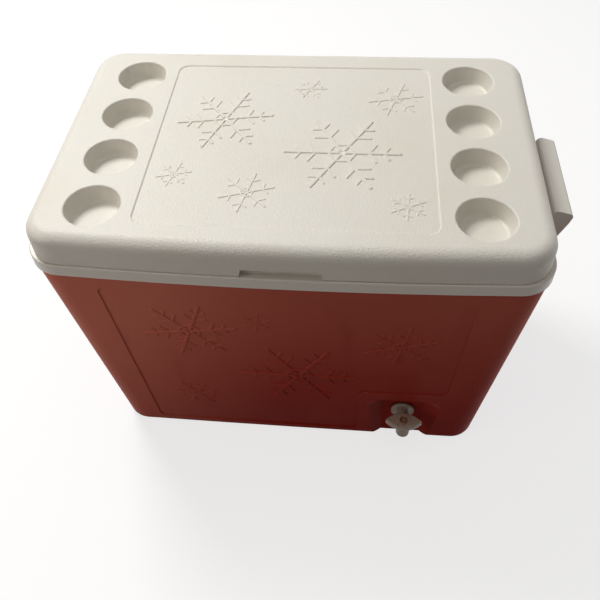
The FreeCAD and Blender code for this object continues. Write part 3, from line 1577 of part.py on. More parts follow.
def tank_outlet_nut():
    """Nut that holds the outlet from below."""
    return nut("tank_outlet_nut", "outlet_nut_flats", "outlet_nut_height", "outlet_shank_radius",
               across="tap_along", back=OUTLET_BACK, up=f"{TANK_BOTTOM} - outlet_nut_height")


HOSE_INNER = "(coil_tube_radius + hose_fit)"
HOSE_OUTER = "(coil_tube_radius + hose_fit + hose_wall)"
HOSE_TOP = "(-outlet_barb_drop + hose_overlap)"


def hose_bottom(riser_top):
    """How far the hose's lower end lies below the underside of the tank."""
    return f"({riser_top.z} - {TANK_BOTTOM} - hose_overlap)"


def feed_hose(riser_top):
    """Short upright hose from the tank's outlet to the coil's riser."""
    return on_outlet("feed_hose", ring_points(HOSE_INNER, HOSE_OUTER, hose_bottom(riser_top), HOSE_TOP))


def hose_clamps(riser_top):
    """Two band clamps, one at each end of the hose, each with its tightening lug."""
    clamps = []
    margin = "(hose_overlap - clamp_width) / 2"
    for label, low in (("upper", f"({HOSE_TOP} - {margin} - clamp_width)"),
                       ("lower", f"({hose_bottom(riser_top)} + {margin})")):
        band = on_outlet(f"clamp_band_{label}", ring_points(
            HOSE_OUTER, f"{HOSE_OUTER} + clamp_wall", low, f"{low} + clamp_width"))
        lug = box(f"clamp_lug_{label}", "tap_along - clamp_lug / 2", "tap_along + clamp_lug / 2",
                  f"{OUTLET_BACK} + {HOSE_OUTER} + clamp_wall / 2",
                  f"{OUTLET_BACK} + {HOSE_OUTER} + clamp_lug",
                  f"{TANK_BOTTOM} + {low}", f"{TANK_BOTTOM} + {low} + clamp_width")
        clamps.append(fuse(f"clamp_{label}", [band, lug]))
    return group("hose_clamps", clamps)


# Assembly

def build_body():
    """Everything that stays with the chest."""
    outside = shell_block("shell_outside", "0", "0", "base_edge_round")
    joint = tap_joint()
    tap = tap_body()
    ferrule, union_nut = coil_union()
    leaf_screws = hinge_screws("hinge_body_screws", f"{BACK_OF_COLLAR} + hinge_plate",
                               f"{SEAM} - body_screw_drop")
    end_screws = [bracket_screws(end) for end in ENDS]
    shank_hole = cylinder("shank_hole", "shank_radius + shank_fit", RECESS_BACK,
                          "tap_along", "0", "tap_level", ABOUT_X, "90")
    sleeve_hole = cylinder("sleeve_hole", "shank_radius + shank_fit + sleeve_wall", RECESS_BACK,
                           "tap_along", "0", "tap_level", ABOUT_X, "90")
    boss = cylinder("tap_boss", "tap_boss_radius", "tap_boss_depth",
                    "tap_along", f"-{BOSS_INNER}", "tap_level", ABOUT_X, "90")
    document.recompute()
    shell, room = outer_shell(outside, [shank_hole, leaf_screws] + end_screws)
    pieces = [shell, tap, ferrule, union_nut, leaf_screws] + end_screws + list(joint.values())
    pieces.append(inner_liner(boss, [shank_hole, leaf_screws]))
    pieces.append(body_foam(room, boss, [sleeve_hole, leaf_screws] + end_screws))
    for end, screws in zip(ENDS, end_screws):
        pieces.append(handle_bracket(end, outside, screws))
        pieces.append(handle_pins(end))
        pieces.append(body_hinge_leaf(end, [leaf_screws]))
        pieces.append(hinge_pin(end))
    return pieces


def build_lid():
    """The lid and what swings with it."""
    screws = hinge_screws("hinge_lid_screws", f"{BACK_OF_LID} + hinge_plate", f"{SEAM} + lid_screw_rise")
    cups = well_cups()
    block = notch_block()
    document.recompute()
    pieces = [lid_top(cups, block, screws), lid_inner_pan(block), lid_foam(cups, block, screws), screws]
    return pieces + [lid_hinge_leaf(end, [screws]) for end in ENDS]


def build_valve():
    """The tap's turning pieces."""
    return [plug_o_rings(), knob_screw(), tap_plug(), tap_knob()]


def build_feed():
    """The coil, its core, and the tank with its outlet, hose and cap."""
    coil, riser_top = chill_coil()
    outlet_hole = cylinder("outlet_hole", "outlet_shank_radius + shank_fit", "tank_corner",
                           "tap_along", OUTLET_BACK, f"{TANK_BOTTOM} - tank_wall")
    document.recompute()
    return [coil, coil_core(), drink_tank(outlet_hole), tank_cap(), tank_cap_gasket(),
            tank_outlet_fitting(), tank_outlet_washer(), tank_outlet_nut(),
            feed_hose(riser_top), hose_clamps(riser_top)]


def check_everything(pieces):
    """Stop if any object failed or any piece has no sound shape."""
    for item in document.Objects:
        if "Invalid" in item.State or "Error" in item.State:
            raise RuntimeError(f"{item.Name}: {item.State}")
    for piece in pieces:
        if piece.Shape.isNull() or not piece.Shape.isValid():
            raise RuntimeError(f"{piece.Name} has no sound shape")


parts = build_body() + build_lid() + build_valve() + build_feed()
parts.append(swing_handle("right", "handle_raised_tilt"))
parts.append(swing_handle("left", "180"))
document.recompute()
for part in parts:
    part.Label = part.Name
check_everything(parts)
os.makedirs("parts", exist_ok=True)
for part in parts:
    part.Shape.exportStep(f"parts/{part.Label}.step")
    solids = len(part.Shape.Solids)
    print(f"{part.Label}: {solids} solid{'s' if solids > 1 else ''}, {part.Shape.Volume:.0f} mm3")
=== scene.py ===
import json
import math

import bmesh
import bpy
from mathutils import Matrix, Vector
from mathutils.bvhtree import BVHTree


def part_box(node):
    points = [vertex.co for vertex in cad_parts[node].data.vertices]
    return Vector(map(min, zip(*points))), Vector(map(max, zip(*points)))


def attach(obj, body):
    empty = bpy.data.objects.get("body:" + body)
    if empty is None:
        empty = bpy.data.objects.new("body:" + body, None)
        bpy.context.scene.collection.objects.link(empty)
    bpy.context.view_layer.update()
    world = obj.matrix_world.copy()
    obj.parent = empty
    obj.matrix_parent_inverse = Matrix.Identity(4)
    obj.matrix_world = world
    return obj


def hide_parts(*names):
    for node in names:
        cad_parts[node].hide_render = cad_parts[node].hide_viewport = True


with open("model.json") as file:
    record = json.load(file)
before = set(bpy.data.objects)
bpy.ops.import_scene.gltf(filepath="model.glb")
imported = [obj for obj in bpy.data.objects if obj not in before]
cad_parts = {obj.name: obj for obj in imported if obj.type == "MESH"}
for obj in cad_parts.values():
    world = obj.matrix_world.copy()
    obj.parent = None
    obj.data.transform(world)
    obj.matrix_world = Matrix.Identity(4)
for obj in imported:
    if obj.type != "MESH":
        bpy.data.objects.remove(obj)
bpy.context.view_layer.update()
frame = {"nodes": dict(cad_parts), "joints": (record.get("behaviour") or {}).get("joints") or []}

# The camera: it looks down on the chest from the front, a little from the right, as the
# photographer did with the chest on the floor. Its turn, tilt and lean are in radians.
camera_place = Vector((0.0681, -0.5927, 0.8744))
camera_turn = -0.142
camera_tilt = 0.801
camera_lean = -0.066
focal_share = 1.2053
optical_middle = (283.7, 219.4)
frame_side = 600

ahead = Vector((
    math.sin(camera_turn) * math.cos(camera_tilt),
    math.cos(camera_turn) * math.cos(camera_tilt),
    -math.sin(camera_tilt),
))
level_right = Vector((math.cos(camera_turn), -math.sin(camera_turn), 0))
level_up = level_right.cross(ahead)
leant_right = level_right * math.cos(camera_lean) + level_up * math.sin(camera_lean)
leant_up = level_up * math.cos(camera_lean) - level_right * math.sin(camera_lean)
camera = bpy.data.objects.new("camera", bpy.data.cameras.new("camera"))
camera.matrix_world = Matrix((
    (leant_right.x, leant_up.x, -ahead.x, camera_place.x),
    (leant_right.y, leant_up.y, -ahead.y, camera_place.y),
    (leant_right.z, leant_up.z, -ahead.z, camera_place.z),
    (0, 0, 0, 1),
))
camera.data.sensor_width = 36
camera.data.lens = focal_share * camera.data.sensor_width
camera.data.shift_x = 0.5 - optical_middle[0] / frame_side
camera.data.shift_y = optical_middle[1] / frame_side - 0.5
camera.data.clip_start = 0.01
bpy.context.scene.collection.objects.link(camera)
bpy.context.scene.camera = camera

# The outer shell is one blown moulding in orange-red polyethylene, with the front's sunk
# panel and the recess round the tap in it. Its satin skin shows faint flow marks, scuffs
# near the foot and faint fading in patches, and painted light and sheen lighten its top and front
# left.


class Wire:
    """A socket of one material: Python's operators on it add Math nodes."""

    def __init__(self, tree, socket=None):
        self.tree = tree
        self.socket = socket

    def node(self, kind, settings=None, sockets=None, output=0):
        """A new node: its settings are set first, then its sockets' values or links."""
        made = self.tree.nodes.new("ShaderNode" + kind)
        for name, setting in (settings or {}).items():
            setattr(made, name, setting)
        for name, value in (sockets or {}).items():
            if isinstance(value, Wire):
                self.tree.links.new(value.socket, made.inputs[name])
            else:
                made.inputs[name].default_value = value
        return Wire(self.tree, made.outputs[output] if made.outputs else None)

    def math(self, operation, *values):
        """A Math node on numbers and other sockets."""
        return self.node("Math", {"operation": operation}, dict(enumerate(values)))

    def __add__(self, other):
        return self.math("ADD", self, other)

    def __radd__(self, other):
        return self.math("ADD", other, self)

    def __sub__(self, other):
        return self.math("SUBTRACT", self, other)

    def __rsub__(self, other):
        return self.math("SUBTRACT", other, self)

    def __mul__(self, other):
        return self.math("MULTIPLY", self, other)

    def __rmul__(self, other):
        return self.math("MULTIPLY", other, self)

    def above(self, start, end):
        """A soft step: 0 below start and 1 past end."""
        return self.node("MapRange", {"interpolation_type": "SMOOTHSTEP"},
                         {"Value": self, "From Min": start, "From Max": end})

    def place(self):
        """A point's place in the frame, in metres."""
        return self.node("TexCoord", output="Object")

    def placed(self, way):
        """A point's X, Y or Z in the frame, in metres; Z is its height above the floor."""
        return self.node("SeparateXYZ", {}, {"Vector": self.place()}, way)

    def away_from(self, x, y):
        """How far a point lies from the upright line through x and y, in metres."""
        flat = self.node("VectorMath", {"operation": "MULTIPLY_ADD"},
                         {0: self.place(), 1: (1, 1, 0), 2: (-x, -y, 0)})
        return self.node("VectorMath", {"operation": "LENGTH"}, {0: flat}, "Value")

    def noise(self, lumps, detail=3.0, roughness=0.5, stretch=None):
        """Noise with so many lumps in a metre, times stretch along X, Y and Z."""
        place = self.place()
        if stretch:
            place = self.node("Mapping", {}, {"Vector": place, "Scale": stretch})
        return self.node("TexNoise", {}, {
            "Vector": place, "Scale": lumps, "Detail": detail, "Roughness": roughness})

    def mix(self, share, first, second):
        """A colour between two, by a share."""
        sockets = {0: share, 6: first, 7: second}
        return self.node("Mix", {"data_type": "RGBA"}, sockets, 2)

    def bump(self, height, depth):
        """A normal for a height of 0 to 1 that is so many metres deep."""
        return self.node("Bump", {}, {"Height": height, "Distance": depth})


def new_finish(name, **constants):
    """A new material, its tree's maker, and a function that feeds the shader's sockets."""
    material = bpy.data.materials.new(name)
    material.use_nodes = True
    tree = material.node_tree
    shader = tree.nodes["Principled BSDF"]
    for socket, number in constants.items():
        shader.inputs[socket.replace("_", " ")].default_value = number

    def connect(socket, wire):
        tree.links.new(wire.socket, shader.inputs[socket])
    return material, Wire(tree), connect


def give(material, *nodes):
    """Put one material on these nodes."""
    for node in nodes:
        frame["nodes"][node].data.materials.clear()
        frame["nodes"][node].data.materials.append(material)


shell_red = (0.33, 0.009, 0.003, 1)
# The lighter tone is painted light and sheen on the top and front left, and real fading in
# patches.
shell_lit_and_faded = (0.68, 0.200, 0.140, 1)
shell_deep = (0.26, 0.007, 0.003, 1)
scuff_tone = (0.60, 0.30, 0.22, 1)
peel_depth = 0.00022

red_moulding, maker, connect = new_finish("red_moulding", Specular_IOR_Level=0.01)
clouds = maker.noise(5, detail=4)
streaks = maker.noise(26, detail=2, stretch=(1, 1, 0.25)).above(0.55, 0.75)
near_top = maker.placed("Z").above(0.03, 0.36)
near_left = 1 - maker.placed("X").above(-0.28, 0.06)
near_front = 1 - maker.placed("Y").above(-0.17, 0.20)
# Painted light and sheen: lighter towards the top and the front's left; the cloud patches are
# real faint fading.
painted_light_and_fade = near_top * 0.62 + near_left * near_front * 0.7 + clouds.above(0.45, 0.72) * 0.12
colour = maker.mix(streaks * 0.3, shell_red, shell_deep)
colour = maker.mix(painted_light_and_fade * (1 - streaks * 0.12), colour, shell_lit_and_faded)
scratches = maker.noise(70, detail=6, roughness=0.65, stretch=(1, 1, 9)).above(0.66, 0.72)
near_foot = 1 - maker.placed("Z").above(0.0, 0.06)
scuffs = scratches * (near_foot * 0.4 + 0.08)
orange_peel = maker.noise(420, detail=2)
connect("Base Color", maker.mix(scuffs, colour, scuff_tone))
connect("Roughness", clouds * 0.10 + 0.36 + scuffs * 0.3)
connect("Normal", maker.bump(orange_peel * 0.6 + clouds * 0.4, peel_depth))
give(red_moulding, "outer_shell")

# Snow crystals stand in low relief on the sunk front panel. They are part of the shell's
# moulding, cut into the tool, so they have its colour and lie in the panel's floor.


def surface_finder(node, direction):
    """A function that drops a point onto a node's surface along a direction."""
    mesh = frame["nodes"][node].data
    corners = [vertex.co for vertex in mesh.vertices]
    tree = BVHTree.FromPolygons(corners, [face.vertices for face in mesh.polygons])

    def drop(point):
        place, normal, _, _ = tree.ray_cast(point, direction)
        return place, normal
    return drop


def crystal_ridges(middle, radius, first_turn, branches):
    """The straight ridges of a six-armed crystal: two points in its plane and a half width."""
    arm_start = 0.06
    ring_reach = 0.24
    arm_half_width = 0.0008 + radius * 0.028
    twig_half_width = arm_half_width * 0.8

    def out(turn, reach):
        return Vector((math.cos(turn), math.sin(turn))) * radius * reach

    ridges = []
    for arm in range(6):
        turn = first_turn + arm * math.pi / 3
        next_turn = turn + math.pi / 3
        ridges.append((middle + out(turn, arm_start), middle + out(turn, 1), arm_half_width))
        corner, next_corner = middle + out(turn, ring_reach), middle + out(next_turn, ring_reach)
        ridges.append((corner, next_corner, twig_half_width))
        for share, reach in branches:
            root = middle + out(turn, share)
            for side in (-1, 1):
                tip = root + out(turn + side * math.pi / 3, reach)
                ridges.append((root, tip, twig_half_width))
    return ridges


def new_piece(name, made):
    """The faces that were made, as an object in the scene."""
    bmesh.ops.recalc_face_normals(made, faces=made.faces)
    mesh = bpy.data.meshes.new(name)
    made.to_mesh(mesh)
    made.free()
    piece = bpy.data.objects.new(name, mesh)
    bpy.context.scene.collection.objects.link(piece)
    return piece


def relief(name, ridges, to_surface):
    """Ridges with drafted sides and sloped ends that follow the surface under them."""
    flat_share = 0.55
    end_share = 0.5
    made = bmesh.new()
    for start, end, half_width in ridges:
        rise = half_width * 0.5
        sunk = rise * 0.15
        step = half_width * 3
        profile = [(-1.0, -sunk), (-flat_share, rise), (flat_share, rise), (1.0, -sunk)]
        along = (end - start).normalized()
        across = Vector((-along.y, along.x))
        count = max(2, round((end - start).length / step))
        rings = []
        for index in range(-1, count + 2):
            at_end = index in (-1, count + 1)
            share = min(max(index, 0), count) / count
            spine = start + (end - start) * share
            if at_end:
                spine = spine + along * half_width * (1 if index > 0 else -1)
            ring = []
            for offset, lift in profile:
                flat = spine + across * offset * half_width * (end_share if at_end else 1)
                place, normal = to_surface(flat)
                ring.append(made.verts.new(place + normal * (-sunk if at_end else lift)))
            rings.append(ring)
        for ring, following in zip(rings, rings[1:]):
            for index in range(3):
                after = index + 1
                made.faces.new((ring[index], ring[after], following[after], following[index]))
            made.faces.new((ring[3], ring[0], following[0], following[3]))
        made.faces.new(rings[0])
        made.faces.new(reversed(rings[-1]))
    return new_piece(name, made)


def snow_crystals(name, crystals, to_surface, material):
    """A relief of several crystals, each with its middle, radius, first turn and branches."""
    ridges = []
    for middle, radius, first_turn, branches in crystals:
        ridges += crystal_ridges(Vector(middle), radius, first_turn, branches)
    piece = relief(name, ridges, to_surface)
    piece.data.materials.append(material)
    return piece


long_branches = ((0.46, 0.26), (0.72, 0.18))
short_branches = ((0.58, 0.28),)
before_front = -0.3
drop_back = surface_finder("outer_shell", Vector((0, 1, 0)))


def on_front(point):
    """The point of the shell's front behind a point of the upright plane before it."""
    return drop_back(Vector((point.x, before_front, point.y)))


front_relief = snow_crystals("front_crystals", [
    ((-0.105, 0.238), 0.052, 0.20, long_branches),
    ((0.010, 0.150), 0.066, 0.00, long_branches),
    ((0.122, 0.225), 0.040, 0.35, long_branches),
    ((-0.118, 0.088), 0.030, 0.10, short_branches),
    ((-0.030, 0.262), 0.017, 0.40, short_branches),
], on_front, red_moulding)
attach(front_relief, "chest")

# Rigid foam fills the walls and the lid. It was poured between the skins, where it rose and
# set, so it is a mass of small closed cells.
foam_tone = (0.72, 0.58, 0.30, 1)
foam_dark = (0.52, 0.38, 0.16, 1)
rigid_foam, maker, connect = new_finish("rigid_foam", Roughness=0.85)
cells = maker.node("TexVoronoi", {}, {"Vector": maker.place(), "Scale": 700}, "Distance")
connect("Base Color", maker.mix(cells, foam_tone, foam_dark))
connect("Normal", maker.bump(cells, 0.0003))
give(rigid_foam, "body_foam", "lid_foam")

# The liner is a white tub, drawn deep from one sheet, whose rim turns over the shell and
# shows outside as the collar. The same glossy sheet makes the inner pan of the lid.
liner_white = (0.72, 0.675, 0.610, 1)
liner_worn = (0.62, 0.57, 0.49, 1)
white_liner, maker, connect = new_finish("white_liner")
patches = maker.noise(7, detail=5)
rubbed = maker.noise(45, detail=6, roughness=0.7, stretch=(1, 1, 6)).above(0.60, 0.72)
colour = maker.mix(patches.above(0.45, 0.8) * 0.5, liner_white, liner_worn)
connect("Base Color", maker.mix(rubbed * 0.4, colour, liner_worn))
connect("Roughness", rubbed * 0.25 + 0.28)
connect("Normal", maker.bump(maker.noise(160, detail=2), 0.00018))
give(white_liner, "inner_liner", "lid_inner_pan")

# The lid's skin is moulded in off-white plastic with a fine pebbled grain. It has eight
# glass wells, a shallow sunk panel and a finger notch, and has yellowed a little.
lid_cream = (0.730, 0.705, 0.640, 1)
lid_yellowed = (0.68, 0.635, 0.545, 1)
lid_grime = (0.42, 0.37, 0.31, 1)


def cream_plastic(name, grain_depth):
    """Off-white plastic with pebbled grain, faint yellowing and a few dark specks."""
    material, maker, connect = new_finish(name)
    patches = maker.noise(6, detail=5)
    smudges = maker.noise(28, detail=5, roughness=0.7).above(0.60, 0.80)
    specks = maker.noise(420, detail=1).above(0.80, 0.84)
    pebbles = maker.noise(620, detail=2, roughness=0.6)
    colour = maker.mix(patches.above(0.42, 0.75) * 0.55, lid_cream, lid_yellowed)
    colour = maker.mix(smudges * 0.12, colour, lid_grime)
    connect("Base Color", maker.mix(specks * 0.25, colour, lid_grime))
    connect("Roughness", smudges * 0.15 + 0.46)
    connect("Normal", maker.bump(pebbles + patches * 0.5, grain_depth))
    return material


cream_grained = cream_plastic("cream_grained", 0.0005)
give(cream_grained, "lid_top")

# Snow crystals in the same low relief lie on the lid's panel, in a loose scatter of
# different sizes. They belong to the lid's moulding.
above_lid = 0.5
drop_down = surface_finder("lid_top", Vector((0, 0, -1)))


def on_lid(point):
    """The point of the lid's top under a point of the level plane above it."""
    return drop_down(Vector((point.x, point.y, above_lid)))


lid_relief = snow_crystals("lid_crystals", [
    ((-0.078, 0.030), 0.052, 0.15, long_branches),
    ((0.052, -0.022), 0.060, 0.00, long_branches),
    ((-0.040, -0.085), 0.028, 0.30, short_branches),
    ((0.108, 0.072), 0.030, 0.20, short_branches),
    ((0.012, 0.088), 0.018, 0.05, short_branches),
    ((-0.118, -0.062), 0.018, 0.25, short_branches),
    ((0.118, -0.098), 0.018, 0.45, short_branches),
], on_lid, cream_grained)
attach(lid_relief, "lid")

# The hinges are moulded leaves in the lid's plastic that turn on plain zinc-plated pins.
# Pan head screws of the same steel, with a driver's cross in the head, hold the leaves.
cream_smooth = cream_plastic("cream_smooth", 0.00015)
for side in ("left", "right"):
    give(cream_smooth, f"hinge_body_leaf_{side}", f"hinge_lid_leaf_{side}")

zinc_tone = (0.62, 0.62, 0.60, 1)
zinc_dull = (0.40, 0.39, 0.36, 1)
zinc_plate, maker, connect = new_finish("zinc_plate", Metallic=1)
tarnish = maker.noise(180, detail=5, roughness=0.65)
connect("Base Color", maker.mix(tarnish.above(0.4, 0.7), zinc_tone, zinc_dull))
connect("Roughness", tarnish * 0.3 + 0.2)
connect("Normal", maker.bump(tarnish, 0.00005))
give(zinc_plate, "hinge_pin_left", "hinge_pin_right")


def solid_boxes(node):
    """The middle and the size of each separate solid in a node, in order of place."""
    weld_distance = 0.00001
    made = bmesh.new()
    made.from_mesh(frame["nodes"][node].data)
    bmesh.ops.remove_doubles(made, verts=made.verts, dist=weld_distance)
    waiting = set(made.verts)
    boxes = []
    while waiting:
        reached = [waiting.pop()]
        for vertex in reached:
            for edge in vertex.link_edges:
                other = edge.other_vert(vertex)
                if other in waiting:
                    waiting.discard(other)
                    reached.append(other)
        low = Vector([min(vertex.co[way] for vertex in reached) for way in range(3)])
        high = Vector([max(vertex.co[way] for vertex in reached) for way in range(3)])
        boxes.append(((low + high) / 2, high - low))
    made.free()
    return sorted(boxes, key=lambda item: tuple(item[0]))


def cross_outline(half_length, half_width, turn):
    """The twelve corners of a driver's cross, in order."""
    corners = []
    for quarter in range(4):
        start = turn + quarter * math.pi / 2
        along = Vector((math.cos(start), math.sin(start)))
        across = Vector((-along.y, along.x))
        corners.append(along * half_length - across * half_width)
        corners.append(along * half_length + across * half_width)
        corners.append(along * half_width + across * half_width)
    return corners


def pan_head_screw(made, seat, out, radius, length, head, turn):
    """A screw whose head sits on seat and faces out: from its tip to the cross in its head."""
    upright = Vector((0, 0, 1))
    level = out.cross(upright)
    shank = radius / 2
    cross_floor = head * 0.35

    def ring(points, height):
        return [made.verts.new(seat + level * p.x + upright * p.y + out * height) for p in points]

    def bridge(first, second):
        for index in range(len(first)):
            after = (index + 1) % len(first)
            made.faces.new((first[index], first[after], second[after], second[index]))

    turns = [step * math.pi / 12 for step in range(24)]
    circle = [Vector((math.cos(angle), math.sin(angle))) for angle in turns]
    profile = [
        (shank * 0.3, head - length), (shank, head - length + shank), (shank, 0), (radius, 0),
        (radius, head * 0.4), (radius * 0.95, head * 0.68), (radius * 0.82, head * 0.9),
        (radius * 0.66, head),
    ]
    rings = [ring([point * reach for point in circle], height) for reach, height in profile]
    made.faces.new(rings[0])
    for first, second in zip(rings, rings[1:]):
        bridge(first, second)
    mouth = ring(cross_outline(radius * 0.52, radius * 0.13, turn), head)
    foot = ring(cross_outline(radius * 0.30, radius * 0.09, turn), cross_floor)
    bridge(mouth, foot)
    for corner in range(4):
        made.faces.new([foot[(corner * 3 + index) % 12] for index in (2, 3, 4, 5)])
    made.faces.new([foot[index] for index in (2, 5, 8, 11)])
    edges = []
    for loop in (rings[-1], mouth):
        for index, vertex in enumerate(loop):
            edges.append(made.edges.get((vertex, loop[(index + 1) % len(loop)])))
    bmesh.ops.triangle_fill(made, use_beauty=True, edges=edges)


def pan_head_screws(name, node, body, out, head):
    """Detailed screws in the place of a node's plain ones, each driven home to its own turn."""
    first_turn = 0.4
    further_turn = 0.9
    sharp_angle = math.radians(32)
    made = bmesh.new()
    for number, (middle, size) in enumerate(solid_boxes(node)):
        length = abs(size.dot(out))
        seat = middle + out * (length / 2 - head)
        turn = first_turn + number * further_turn
        pan_head_screw(made, seat, out, size.z / 2, length, head, turn)
    piece = new_piece(name, made)
    piece.data.shade_smooth()
    piece.data.set_sharp_from_angle(angle=sharp_angle)
    piece.data.materials.append(zinc_plate)
    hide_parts(node)
    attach(piece, body)


backwards = Vector((0, 1, 0))
hinge_screw_head = 0.0020
pan_head_screws("hinge_screws_on_body", "hinge_body_screws", "chest", backwards, hinge_screw_head)
pan_head_screws("hinge_screws_on_lid", "hinge_lid_screws", "lid", backwards, hinge_screw_head)

# The swing handles are moulded channels between two arms. Each turns on two headed pins
# in the ears of a bracket, which four pan head screws hold to the end of the chest.
bracket_screw_head = 0.0022
for side, out in (("left", Vector((-1, 0, 0))), ("right", Vector((1, 0, 0)))):
    give(cream_smooth, f"handle_{side}", f"handle_bracket_{side}", f"handle_pins_{side}")
    pan_head_screws(
        f"bracket_fixings_{side}", f"bracket_screws_{side}", "chest", out, bracket_screw_head)

# The tap is moulded in a browner plastic: a body with its spout, a turning plug, and an
# eye-shaped handle on top. Fingers have soiled it, its lower end is darker, and its steel screw
# rusts.
tap_tone = (0.40, 0.315, 0.25, 1)
tap_dark_tone = (0.25, 0.17, 0.12, 1)
rust_tone = (0.30, 0.145, 0.070, 1)
rust_dark = (0.13, 0.060, 0.032, 1)
tap_turn = next(joint for joint in frame["joints"] if joint["name"] == "tap_turn")
spout_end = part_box("tap_body")[0][2]
tap_plastic, maker, connect = new_finish("tap_plastic", Specular_IOR_Level=0.3)
soil = maker.noise(90, detail=5, roughness=0.65)
from_screw = maker.away_from(*tap_turn["pos_m"][:2]) + soil * 0.006
on_hub = maker.placed("Z").above(0.070, 0.073)
rusty = (1 - from_screw.above(0.005, 0.0115)) * on_hub
# Darker towards the spout's lower end.
darker_low = 1 - maker.placed("Z").above(spout_end + 0.004, spout_end + 0.030)
colour = maker.mix(soil.above(0.45, 0.8) + darker_low * 0.8, tap_tone, tap_dark_tone)
connect("Base Color", maker.mix(rusty * 0.7, colour, rust_tone))
connect("Roughness", soil * 0.3 + 0.25)
connect("Normal", maker.bump(maker.noise(900, detail=2), 0.0001))
give(tap_plastic, "tap_body", "tap_knob")

rusted_steel, maker, connect = new_finish("rusted_steel", Metallic=0.2)
flakes = maker.noise(700, detail=4, roughness=0.7)
connect("Base Color", maker.mix(flakes.above(0.4, 0.65), rust_tone, rust_dark))
connect("Roughness", flakes * 0.3 + 0.55)
connect("Normal", maker.bump(flakes, 0.0002))
give(rusted_steel, "knob_screw")

# The tap's plug and lock nut, the sleeve round its shank and the tank's outlet are turned
# or moulded in smooth white plastic, a little dulled where hands and tools have held it.
fitting_tone = (0.70, 0.70, 0.67, 1)
fitting_shade = (0.58, 0.57, 0.52, 1)
fitting_plastic, maker, connect = new_finish("fitting_plastic", Roughness=0.3)
handled = maker.noise(120, detail=4)
connect("Base Color", maker.mix(handled.above(0.4, 0.8), fitting_tone, fitting_shade))
connect("Normal", maker.bump(handled, 0.0001))
give(fitting_plastic, "tap_plug", "tap_lock_nut", "shank_sleeve")
give(fitting_plastic, "tank_outlet_fitting", "tank_outlet_nut")

# The seals are moulded in black rubber, with a dull, dusty skin. They are pinched under the
# tap's flange, its lock nut, the tank's cap and outlet, and in the grooves of the plug.
rubber_tone = (0.022, 0.022, 0.024, 1)
rubber_dust = (0.060, 0.058, 0.055, 1)
black_rubber, maker, connect = new_finish("black_rubber", Roughness=0.7)
dust = maker.noise(200, detail=4)
connect("Base Color", maker.mix(dust.above(0.45, 0.75), rubber_tone, rubber_dust))
connect("Normal", maker.bump(dust, 0.0001))
give(black_rubber, "tap_outer_washer", "tap_inner_washer", "plug_o_rings")
give(black_rubber, "tank_cap_gasket", "tank_outlet_washer")

# A short hose of soft grey rubber leads from the tank to the coil. Two zinc-plated clamps
# hold it on its spigots.
hose_tone = (0.46, 0.45, 0.42, 1)
hose_shade = (0.33, 0.32, 0.29, 1)
grey_hose, maker, connect = new_finish("grey_hose", Roughness=0.55)
bloom = maker.noise(150, detail=4)
connect("Base Color", maker.mix(bloom.above(0.4, 0.8), hose_tone, hose_shade))
connect("Normal", maker.bump(bloom, 0.0002))
give(grey_hose, "feed_hose")
give(zinc_plate, "hose_clamps")

# The chill coil is drawn stainless tube, bright, with fine lines along its bend, held to
# the tap by a turned brass nut and ferrule.
steel_tone = (0.66, 0.66, 0.65, 1)
steel_dull = (0.48, 0.48, 0.47, 1)
drawn_steel, maker, connect = new_finish("drawn_steel", Metallic=1)
draw_marks = maker.noise(240, detail=4, stretch=(1, 1, 10))
connect("Base Color", maker.mix(draw_marks.above(0.4, 0.75), steel_tone, steel_dull))
connect("Roughness", draw_marks * 0.2 + 0.15)
connect("Normal", maker.bump(draw_marks, 0.00006))
give(drawn_steel, "chill_coil")

brass_tone = (0.72, 0.50, 0.22, 1)
brass_dull = (0.42, 0.27, 0.10, 1)
turned_brass, maker, connect = new_finish("turned_brass", Metallic=1)
stain = maker.noise(130, detail=5, roughness=0.65)
connect("Base Color", maker.mix(stain.above(0.4, 0.75), brass_tone, brass_dull))
connect("Roughness", stain * 0.3 + 0.18)
connect("Normal", maker.bump(stain, 0.00006))
give(turned_brass, "coil_union_nut", "coil_ferrule")

# The coil is wound on a windowed drum, moulded in grey plastic with a faint swirl in it.
# The drum stands loose on the tub's floor, in the ice.
core_tone = (0.50, 0.53, 0.55, 1)
core_shade = (0.38, 0.41, 0.43, 1)
grey_drum, maker, connect = new_finish("grey_drum", Roughness=0.4)
swirl = maker.noise(40, detail=4)
connect("Base Color", maker.mix(swirl.above(0.4, 0.8), core_tone, core_shade))
connect("Normal", maker.bump(maker.noise(300, detail=2), 0.00015))
give(grey_drum, "coil_core")

# The drink tank is blown in milky plastic and hangs by its flange on the tub's ledge. Its
# screw cap is moulded in the shell's colour.
tank_milky = (0.74, 0.76, 0.74, 1)
tank_shade = (0.62, 0.64, 0.60, 1)
milky_plastic, maker, connect = new_finish("milky_plastic")
ripple = maker.noise(14, detail=4)
connect("Base Color", maker.mix(ripple.above(0.4, 0.75), tank_milky, tank_shade))
connect("Roughness", ripple * 0.2 + 0.25)
connect("Normal", maker.bump(ripple, 0.0012))
give(milky_plastic, "drink_tank")
give(red_moulding, "tank_cap")

# The studio: a pale floor just under the chest, which keeps its shadow, and a world. Both
# are white to the camera and to gloss and clear plastic, and a dim room to all other rays.
floor_reach = 4.0
floor_level = -0.0003
floor_dim = (0.30, 0.27, 0.25, 1)
floor_pale = (0.32, 0.32, 0.32, 1)
floor_glow = 0.72
room_tone = (1.0, 0.955, 0.92, 1)
room_light = 0.12
pure_white = (1, 1, 1, 1)


def emptied(owner):
    """The maker of a material's or world's node tree, with nothing in it."""
    owner.use_nodes = True
    owner.node_tree.nodes.clear()
    return Wire(owner.node_tree)


def end_in(maker, output, lighting, shown):
    """Light the chest with one shader, and show another, also in gloss and clear plastic."""
    seen = maker.node("LightPath", output="Is Camera Ray")
    for ray in ("Is Glossy Ray", "Is Transmission Ray"):
        seen = maker.math("MAXIMUM", seen, maker.node("LightPath", output=ray))
    surface = maker.node("MixShader", {}, {0: seen, 1: lighting, 2: shown})
    maker.node(output, {}, {"Surface": surface})


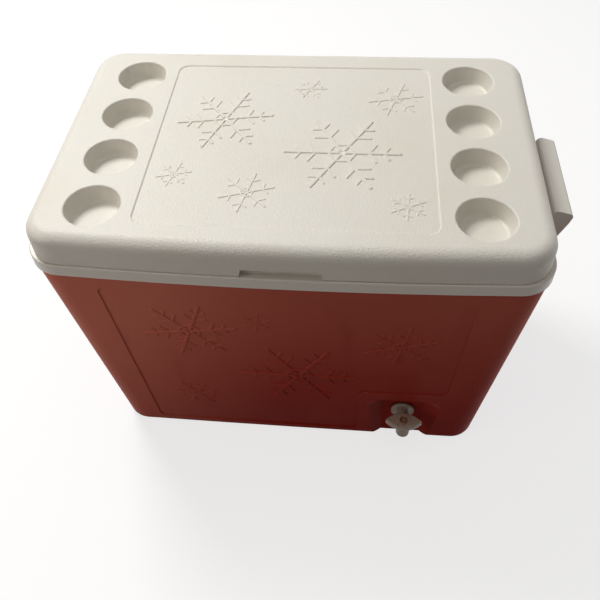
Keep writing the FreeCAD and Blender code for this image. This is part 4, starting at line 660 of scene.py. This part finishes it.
floor_mesh = bpy.data.meshes.new("floor")
floor_corners = [
    (x * floor_reach, y * floor_reach, floor_level)
    for x, y in ((-1, -1), (1, -1), (1, 1), (-1, 1))
]
floor_mesh.from_pydata(floor_corners, [], [(0, 1, 2, 3)])
floor_white = bpy.data.materials.new("floor_white")
floor_mesh.materials.append(floor_white)
maker = emptied(floor_white)
dim = maker.node("BsdfDiffuse", {}, {"Color": floor_dim})
pale = maker.node("BsdfDiffuse", {}, {"Color": floor_pale})
glow = maker.node("Emission", {}, {"Color": pure_white, "Strength": floor_glow})
end_in(maker, "OutputMaterial", dim, maker.node("AddShader", {}, {0: pale, 1: glow}))
floor = bpy.data.objects.new("floor", floor_mesh)
bpy.context.scene.collection.objects.link(floor)

world = bpy.data.worlds.new("studio")
bpy.context.scene.world = world
maker = emptied(world)
room = maker.node("Background", {}, {"Color": room_tone, "Strength": room_light})
white = maker.node("Background", {}, {"Color": pure_white, "Strength": 1.0})
end_in(maker, "OutputWorld", room, white)

# The lamps: a window behind the chest on the left, a wide ceiling, and two weak ones that
# lighten the shade, one at the front on the left and one beside the right end.


def lamp(name, place, aim, side, watts, tone):
    """A square lamp that faces a point, with its side in metres."""
    light = bpy.data.lights.new(name, "AREA")
    light.size = side
    light.energy = watts
    light.color = tone
    item = bpy.data.objects.new(name, light)
    item.location = place
    item.rotation_euler = (Vector(aim) - Vector(place)).to_track_quat("-Z", "Y").to_euler()
    bpy.context.scene.collection.objects.link(item)


lamp("window", (-0.95, 0.85, 2.05), (0, 0, 0.38), 0.7, 36, (1.0, 0.99, 0.965))
lamp("ceiling", (0, 0, 2.6), (0, 0, 0), 2.0, 10, (1.0, 0.97, 0.94))
lamp("fill", (-0.95, -0.7, 0.8), (0, 0, 0.25), 0.5, 2.2, (1.0, 0.93, 0.86))
lamp("side", (1.5, 0.25, 0.35), (0.2, 0, 0.2), 1.0, 3.0, (1.0, 0.97, 0.94))

bpy.context.scene.view_settings.view_transform = "Standard"

bpy.context.view_layer.update()
